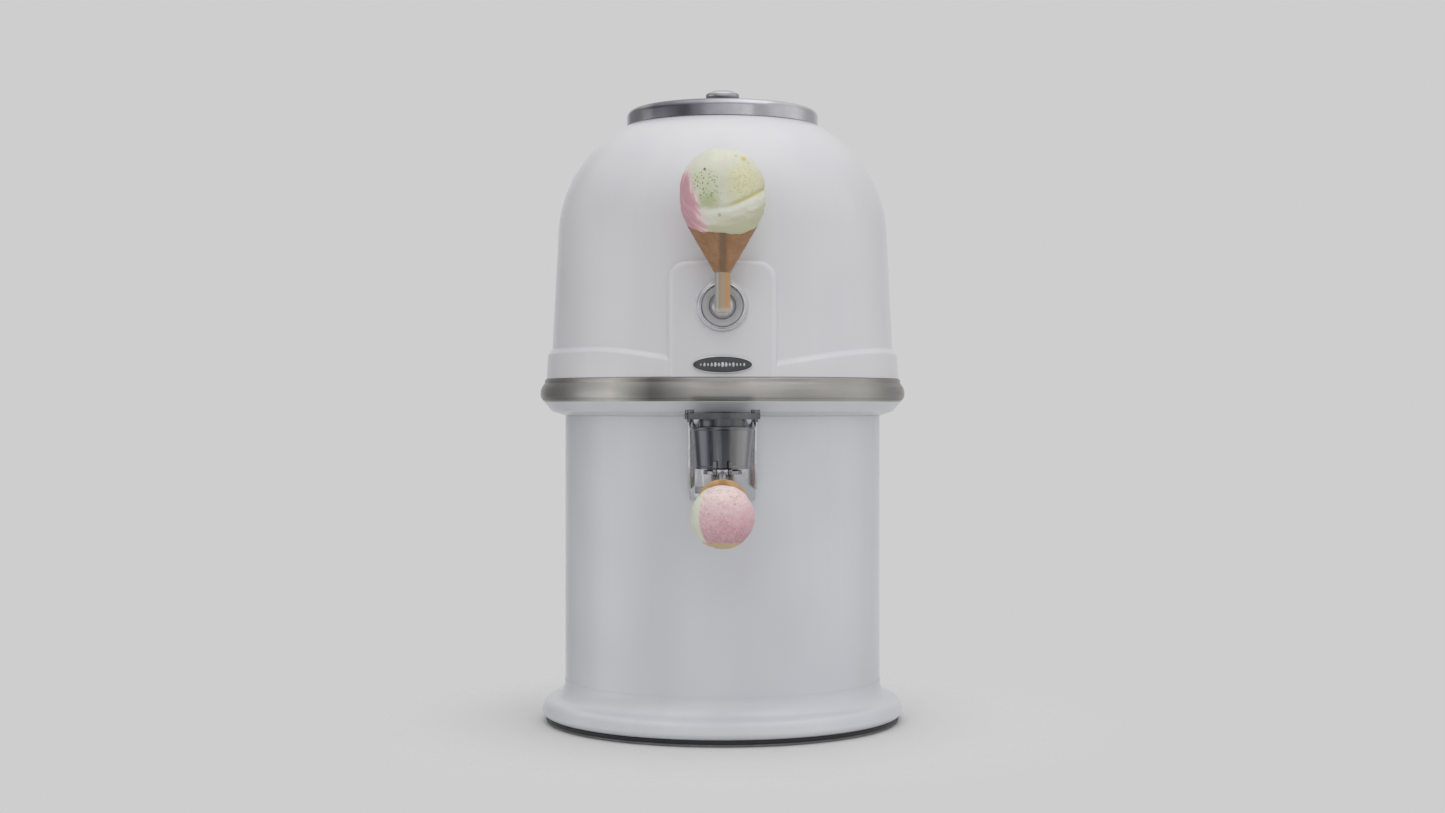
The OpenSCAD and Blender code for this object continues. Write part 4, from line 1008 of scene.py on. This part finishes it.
def woundSpring(low, high):
    # one wire wound round Z, closed at both ends
    wire, sides = springShape["wire"], springShape["wireSides"]
    axis = (low + high) / 2
    coil = (high.x - low.x) / 2 - wire
    steps = springShape["turns"] * springShape["stepsPerTurn"]
    rise = (high.z - low.z - 2 * wire) / steps
    bm = bmesh.new()
    rings = []
    for i in range(steps + 1):
        turn = math.tau * i / springShape["stepsPerTurn"]
        rings.append([])
        for j in range(sides):
            side = math.tau * j / sides
            reach = coil + wire * math.cos(side)
            rings[-1].append(bm.verts.new((axis.x + reach * math.cos(turn), axis.y + reach * math.sin(turn),
                                           low.z + wire + rise * i + wire * math.sin(side))))
    for one, two in zip(rings, rings[1:]):
        for j in range(sides):
            bm.faces.new((one[j], two[j], two[(j + 1) % sides], one[(j + 1) % sides]))
    bm.faces.new(rings[0])
    bm.faces.new(rings[-1][::-1])
    bmesh.ops.recalc_face_normals(bm, faces=bm.faces)
    return bm


springLow, springHigh = boxMm("return_spring")
spring = finish("returnSpring", woundSpring(springLow, springHigh), springSteel, "return_spring")
plungerLift = next(j for j in frame["joints"] if j["name"] == "plunger_lift")["range_m"][1] * 1000
1 - plungerLift / (springHigh.z - springLow.z)
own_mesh(spring)

waferShape = {"footRadius": 5.7, "topRadius": 22.1, "length": 28.3, "raised": 3.4, "ridge": 0.14,
              "ridgePitch": 1.5, "rows": 100}
coneSlope = (waferShape["topRadius"] - waferShape["footRadius"]) / waferShape["length"]


def waferCone(foot, length, scale, rim=0.0):
    # a rolled wafer with fine lines round it, on its narrow end; rim is how far its top edge rolls out
    rows = waferShape["rows"]
    outline = [(0, 0), (waferShape["footRadius"] * scale * 0.9, 0)]
    for i in range(rows + 1):
        z = length * i / rows
        radius = waferShape["footRadius"] * scale + z * coneSlope
        wave = waferShape["ridge"] * math.sin(math.tau * z / waferShape["ridgePitch"])
        rolled = rim * smoothStep(length - 3.0, length - 0.8, z)
        outline.append((radius + rolled + wave * min(1, i / 3, (rows - i) / 3), z))
    outline.append((0, length))
    bm = spunMesh(outline, 140)
    for vert in bm.verts:
        radius = math.hypot(vert.co.x, vert.co.y)
        if radius > 1:
            wobble = noise.noise(Vector((vert.co.x / 5, vert.co.y / 5, vert.co.z / 4)) +
                                 Vector((0, 0, foot)))
            fine = noise.noise(Vector((vert.co.x / 1.6, vert.co.y / 1.6, vert.co.z / 0.8)))
            factor = 1 + (0.22 * wobble + 0.12 * fine) / radius
            vert.co.x *= factor
            vert.co.y *= factor
    return bm


cone = waferCone(coneFoot, waferShape["length"] + waferShape["raised"], 1.0)
placed(cone, Matrix.Translation((0, stemAxis, coneFoot)))
finish("coneGrip", cone, waferResin, "cone_grip", sharpDeg=70)


ballShape = {"radius": scoopRadius, "fullness": 42.7}


def scoopReach(direction, scale, shape):
    # distance from the ball's centre to its skin: a ball that runs down to the cone's edge, full or
    # straight, then laps over the cone and ends
    radius = ballShape["radius"]
    flat = math.hypot(direction.x, direction.y)
    edge = math.hypot(shape.joinRadius, shape.joinDrop)
    touch = math.acos(radius / edge) - math.atan2(shape.joinDrop, shape.joinRadius)
    reach = radius
    if shape.full and direction.z < 0:
        for _ in range(14):
            along = radius * (1 - (reach * -direction.z / ballShape["fullness"]) ** 3)
            reach = 0.5 * reach + 0.5 * max(along, 1.0) / max(flat, 0.2)
    elif direction.z < math.sin(touch):
        reach = min(60.0, radius / max(flat * math.cos(touch) + direction.z * math.sin(touch), 1e-3))
    if direction.z < -0.2:
        slope = math.atan(coneSlope)
        facing = flat * math.cos(slope) - direction.z * math.sin(slope)
        onCone = (shape.joinRadius + shape.overlap) * math.cos(slope) + shape.joinDrop * math.sin(slope)
        onCone /= max(facing, 1e-3)
        if shape.full:
            below = smoothStep(22.5, 27.0, -reach * direction.z)
            reach += (onCone - reach) * below
        else:
            reach = min(reach, onCone)
        reach = min(reach, (shape.joinDrop + shape.lip(direction)) / max(-direction.z, 1e-3))
    return reach * scale


def scoopBall(scale, shape):
    bm = bmesh.new()
    bmesh.ops.create_icosphere(bm, subdivisions=6, radius=1.0)
    for vert in bm.verts:
        direction = vert.co.normalized()
        reach = scoopReach(direction, scale, shape)
        vert.co = direction * (reach + shape.relief(direction * ballShape["radius"] * scale, direction))
    bmesh.ops.recalc_face_normals(bm, faces=bm.faces)
    return bm


def cellDepth(point, sizeMm):
    # how near a point is to the middle of the nearest random cell, 1 in the middle and 0 outside
    distances, _ = noise.voronoi(point / sizeMm)
    return max(0.0, 1 - distances[0] / 0.36)


class DrawScoop:
    # three flavours: a pitted pistachio patch, a grainy lemon patch, folds below and a ragged skirt
    pittedAt, grainyAt = Vector((-13.5, 0, 0)), Vector((15, 0, 3))
    joinRadius, joinDrop, overlap, full = 22.1, 29.0, 0.9, True

    def lip(self, direction):
        # how far the skirt hangs past the cone's true edge: highest at the sides, lowest right of the middle
        turn = math.atan2(direction.y, direction.x)
        side = abs(math.cos(turn))
        ragged = noise.noise(Vector((math.cos(turn) * 3.2, math.sin(turn) * 3.2, 4.0)))
        droop = -3.6 + 5.0 * (1 - side ** 6)
        right = 1.9 * math.exp(-((math.cos(turn) - 0.4) / 0.35) ** 2)
        return droop + right + 0.7 * ragged

    def relief(self, point, direction):
        flat = Vector((point.x, 0, point.z))
        lump = 0.30 * noise.noise(point / 13) + 0.13 * noise.noise(point / 4.5)
        pitted = smoothStep(12, 6, (flat - self.pittedAt).length + 3 * noise.noise(point / 5))
        grainy = smoothStep(15, 8, (flat - self.grainyAt).length + 3 * noise.noise(point / 6))
        pits = -0.9 * pitted * cellDepth(point, 2.6) - 0.25 * (1 - pitted) * max(0,
                                                                                 noise.noise(point / 1.9) -
                                                                                 0.25)
        grain = 0.30 * grainy * noise.noise(point / 1.5)
        fold = point.z - foldAt(point.x) + 1.6 * noise.noise(point / 7)
        crease = -1.3 * math.exp(-(fold / 1.1) ** 2)
        below = smoothStep(0.5, -2.0, fold)
        strands = 0.26 * below * math.sin((fold + 1.5 * noise.noise(point / 9)) * 1.55 + 0.08 * point.x)
        berry = smoothStep(-19, -23, point.x + 0.34 * point.z)
        outward = math.hypot(point.x, point.z) + 1.5 * noise.noise(point / 10)
        swirl = 0.16 * berry * math.sin(outward * 2.4)
        firm = 1 - 0.85 * berry
        return lump + pits + grain + firm * (crease + 0.4 * below + strands) + swirl


class GateScoop:
    # strawberry with berry seeds and a smooth crescent of mint cream; it sits inside the cone's rim
    joinRadius, joinDrop, overlap, full = 17.6, 29.0, 0.4, False

    def lip(self, direction):
        return 0.3

    def relief(self, point, direction):
        lump = 0.4 * noise.noise(point / 9 + Vector((7, 0, 0))) + 0.22 * noise.noise(point / 3.4)
        grain = 0.14 * noise.noise(point / 1.2)
        pits = -0.4 * cellDepth(point + Vector((31, 0, 0)), 3.3)
        edge = -0.5 * math.exp(-((point.x + 14.5 - 0.018 * point.z ** 2) / 0.8) ** 2)
        return lump + grain + pits + edge


scoop = scoopBall(0.995, DrawScoop())
placed(scoop, Matrix.Translation((0, stemAxis, scoopCentre.z)))
finish("scoopGrip", scoop, drawResin, "scoop_grip", sharpDeg=75)
print("draw handle made")


# ---------- spout and gate handle ----------

cupHigh = boxMm("spout_cup")[1]
spoutAxis = middleMm("star_nozzle").y
cupShape = {"mouthZ": 199.0, "mouthR": 19.0, "topR": 21.5, "wall": 2.0, "roof": 2.0}
c = cupShape
cupOutline = roundedOutline([(c["mouthR"] - 1.4, c["mouthZ"], 0.4), (c["mouthR"] + 0.55, c["mouthZ"], 0.6),
                             (c["mouthR"] + 0.7, c["mouthZ"] + 1.7, 0.5),
                             (c["mouthR"] + 0.2, c["mouthZ"] + 2.1, 0.3),
                             (c["topR"] - 0.1, cupHigh.z - 2.2, 0.3),
                             (c["topR"] + 0.65, cupHigh.z - 1.6, 0.4), (c["topR"] + 0.65, cupHigh.z, 0.5),
                             (9.1, cupHigh.z), (9.1, cupHigh.z - c["roof"]),
                             (c["topR"] - c["wall"], cupHigh.z - c["roof"], 0.6),
                             (c["mouthR"] - c["wall"], c["mouthZ"] + 1.2, 0.5)], 4)
cupBody = finish("spoutCup", placed(spunMesh(cupOutline, 120), Matrix.Translation((0, spoutAxis, 0))),
                 darkChrome, "spout_cup")
stubHalf = 8.1
drilled(cupBody, boxMesh((-stubHalf, spoutAxis, 213.9), (stubHalf, -110, 229.6)))
earShape = {"inner": 4.1, "outer": 6.8, "radius": 4.2}
pinY, pinZ = spoutAxis - 23, 196.0
ears = bmesh.new()
for side in (-1, 1):
    xs = sorted((side * earShape["inner"], side * earShape["outer"]))
    joined(ears, boxMesh((xs[0], pinY, pinZ - 4.1), (xs[1], spoutAxis - 18.2, pinZ + 8.8), 0.5, 2))
    eye = rodMesh(earShape["radius"], xs[0], xs[1], 40, 0.4)
    joined(ears,
           placed(eye, Matrix.Translation((0, pinY, pinZ)) @ Matrix.Rotation(math.radians(90), 4, "Y")))
finish("cupEars", ears, darkChrome, body="cabinet")

for nodeName, material, width, segments in (
        ("spout_bracket", plateChrome, 0.4, 2), ("spout_body", darkChrome, 0.6, 3),
        ("star_nozzle", shadedNozzlePlastic, 0.3, 2), ("gate_lever", shadedLeverChrome, 0.35, 2)):
    softened(nodeName, material, width, segments)


def knurledHeads():
    heads = bmesh.new()
    low, high = boxMm("thumb_screws")
    seat = boxMm("spout_body")[1].z
    radius = (high.y - low.y) / 2
    middleY = (low.y + high.y) / 2
    for side in (-1, 1):
        outline = roundedOutline([(0, seat), (radius, seat, 0.3), (radius, high.z, 0.6),
                                  (radius * 0.55, high.z, 0.3), (radius * 0.5, high.z - 0.5),
                                  (0, high.z - 0.5)], 3)
        head = spunMesh(outline, 48)
        for vert in head.verts:
            reach = math.hypot(vert.co.x, vert.co.y)
            if reach > radius * 0.9 and seat + 0.4 < vert.co.z < high.z - 0.4:
                grip = 1 - 0.05 * (0.5 + 0.5 * math.cos(24 * math.atan2(vert.co.y, vert.co.x)))
                vert.co.x *= grip
                vert.co.y *= grip
        joined(heads, placed(head, Matrix.Translation((side * (high.x - radius), middleY, 0))))
        shank = rodMesh(1.8, low.z, seat, 24, 0.3)
        joined(heads, placed(shank, Matrix.Translation((side * (high.x - radius), middleY, 0))))
    return heads


finish("thumbScrews", knurledHeads(), fastenerChrome, "thumb_screws")

gateShape = {"droop": 28.0, "scale": 0.7233, "stem": 16.3, "coneRim": 1.0, "ballFromFoot": 57.3}
gateScale, gateStem = gateShape["scale"], gateShape["stem"]
alongGate = Matrix.Translation((0, pinY, pinZ)) @ Matrix.Rotation(math.radians(90 + gateShape["droop"]), 4,
                                                                  "X")
gateCone = waferCone(3.0, waferShape["length"] * gateScale, gateScale, gateShape["coneRim"])
placed(gateCone, alongGate @ Matrix.Translation((0, 0, gateStem)))
finish("gateConeGrip", gateCone, gateWafer, "gate_cone_grip", sharpDeg=70)

toBall = alongGate @ Matrix.Translation((0, 0, gateStem + gateShape["ballFromFoot"] * gateScale))


class TurnedScoop(GateScoop):
    # the relief is laid out in the upright machine, not along the handle
    upright = toBall.to_3x3().normalized()

    def relief(self, point, direction):
        return super().relief(self.upright @ point, direction)


gateScoop = scoopBall(gateScale * 0.992, TurnedScoop())
finish("gateScoopGrip", placed(gateScoop, toBall), gateResin, "gate_scoop_grip", sharpDeg=75)
print("spout and gate handle made")


# ---------- rear ----------

for nodeName, material, width, segments in (
        ("rear_panel", greyEnamel, 0.35, 2), ("power_plate", blackNylon, 0.8, 3),
        ("power_inlet", blackNylon, 0.3, 2), ("power_rocker", blackNylon, 0.4, 2),
        ("panel_screws", sheetSteel, 0.4, 2)):
    softened(nodeName, material, width, segments)
print("rear made")


# ---------- studio ----------

def softBox(name, place, aim, size, watts, tint="#FFFFFF"):
    light = bpy.data.lights.new(name, "AREA")
    light.shape = "RECTANGLE"
    light.size, light.size_y = size
    light.energy = watts
    light.color = hexColour(tint)[:3]
    lamp = bpy.data.objects.new(name, light)
    bpy.context.scene.collection.objects.link(lamp)
    lamp.location = place
    lamp.rotation_euler = (Vector(aim) - Vector(place)).to_track_quat("-Z", "Y").to_euler()
    return lamp


studio = {"room": "#CECECE", "zenith": 1.75, "floorTint": "#DCDCDC", "floorSize": 6.0}
# softboxes and flags hung round the machine: azimuth from the front and height, both in degrees, then the
# half width, the half height, the softness of the edges and the brightness beside the room's
hungCards = [(-84, -6, 17, 14, 6, 2.3), (-47, 0, 9, 26, 5, 0.4), (-80, 22, 34, 12, 6, 0.5),
             (-132, 0, 22, 30, 9, 0.4), (4, 0, 16, 12, 8, 0.75), (132, 0, 20, 30, 12, 0.72),
             (84, 5, 26, 26, 9, 1.35)]


def studioRoom():
    world = bpy.data.worlds.new("studioRoom")
    bpy.context.scene.world = world
    world.use_nodes = True
    tree = world.node_tree
    background = tree.nodes["Background"]
    background.inputs["Color"].default_value = hexColour(studio["room"])
    x, y, z = axesOf(addNode(tree, "ShaderNodeTexCoord", {}, "Generated"))
    around = maths("ARCTAN2", x, y * -1) * (180 / math.pi)
    up = maths("ARCSINE", z, 0) * (180 / math.pi)
    level = spread(up, 12, 80, 1, studio["zenith"], True)
    for azimuth, height, halfWidth, halfHeight, soft, brightness in hungCards:
        beside = abs(around - azimuth)
        above = abs(up - height)
        inside = spread(beside, halfWidth - soft, halfWidth + soft, 1, 0, True) * spread(above,
                                                                                         halfHeight - soft,
                                                                                         halfHeight + soft,
                                                                                         1, 0, True)
        change = (brightness - level) * inside
        level = level + change
    seen = addNode(tree, "ShaderNodeLightPath", {}, "Is Camera Ray")
    plain = (1.0 - level) * seen
    feed(tree, background.inputs["Strength"], level + plain)


studioRoom()

floorMesh = bmesh.new()
bmesh.ops.create_grid(floorMesh, x_segments=4, y_segments=4, size=studio["floorSize"] / 2)
floorData = bpy.data.meshes.new("floorPaper")
floorMesh.to_mesh(floorData)
floorMesh.free()
floorPaper = bpy.data.objects.new("floorPaper", floorData)
floorData.materials.append(paperSweep("studioPaper", studio["floorTint"]))
bpy.context.scene.collection.objects.link(floorPaper)

softBox("topWash", (0.1, -0.35, 1.9), (0, 0, 0.3), (2.0, 1.8), 6)
softBox("frontFill", (0.25, -2.3, 0.5), (0, 0, 0.25), (2.6, 1.6), 5)

cameraShape = {"lens": 50.0, "sensor": 36.0, "away": 1.566, "height": 0.243}
cameraData = bpy.data.cameras.new("frontCamera")
cameraData.lens = cameraShape["lens"]
cameraData.sensor_width = cameraShape["sensor"]
frontCamera = bpy.data.objects.new("frontCamera", cameraData)
bpy.context.scene.collection.objects.link(frontCamera)
frontCamera.location = (0, -cameraShape["away"], cameraShape["height"])
frontCamera.rotation_euler = (math.radians(90), 0, 0)
bpy.context.scene.camera = frontCamera
bpy.context.scene.view_settings.view_transform = "Standard"

print("studio ready")
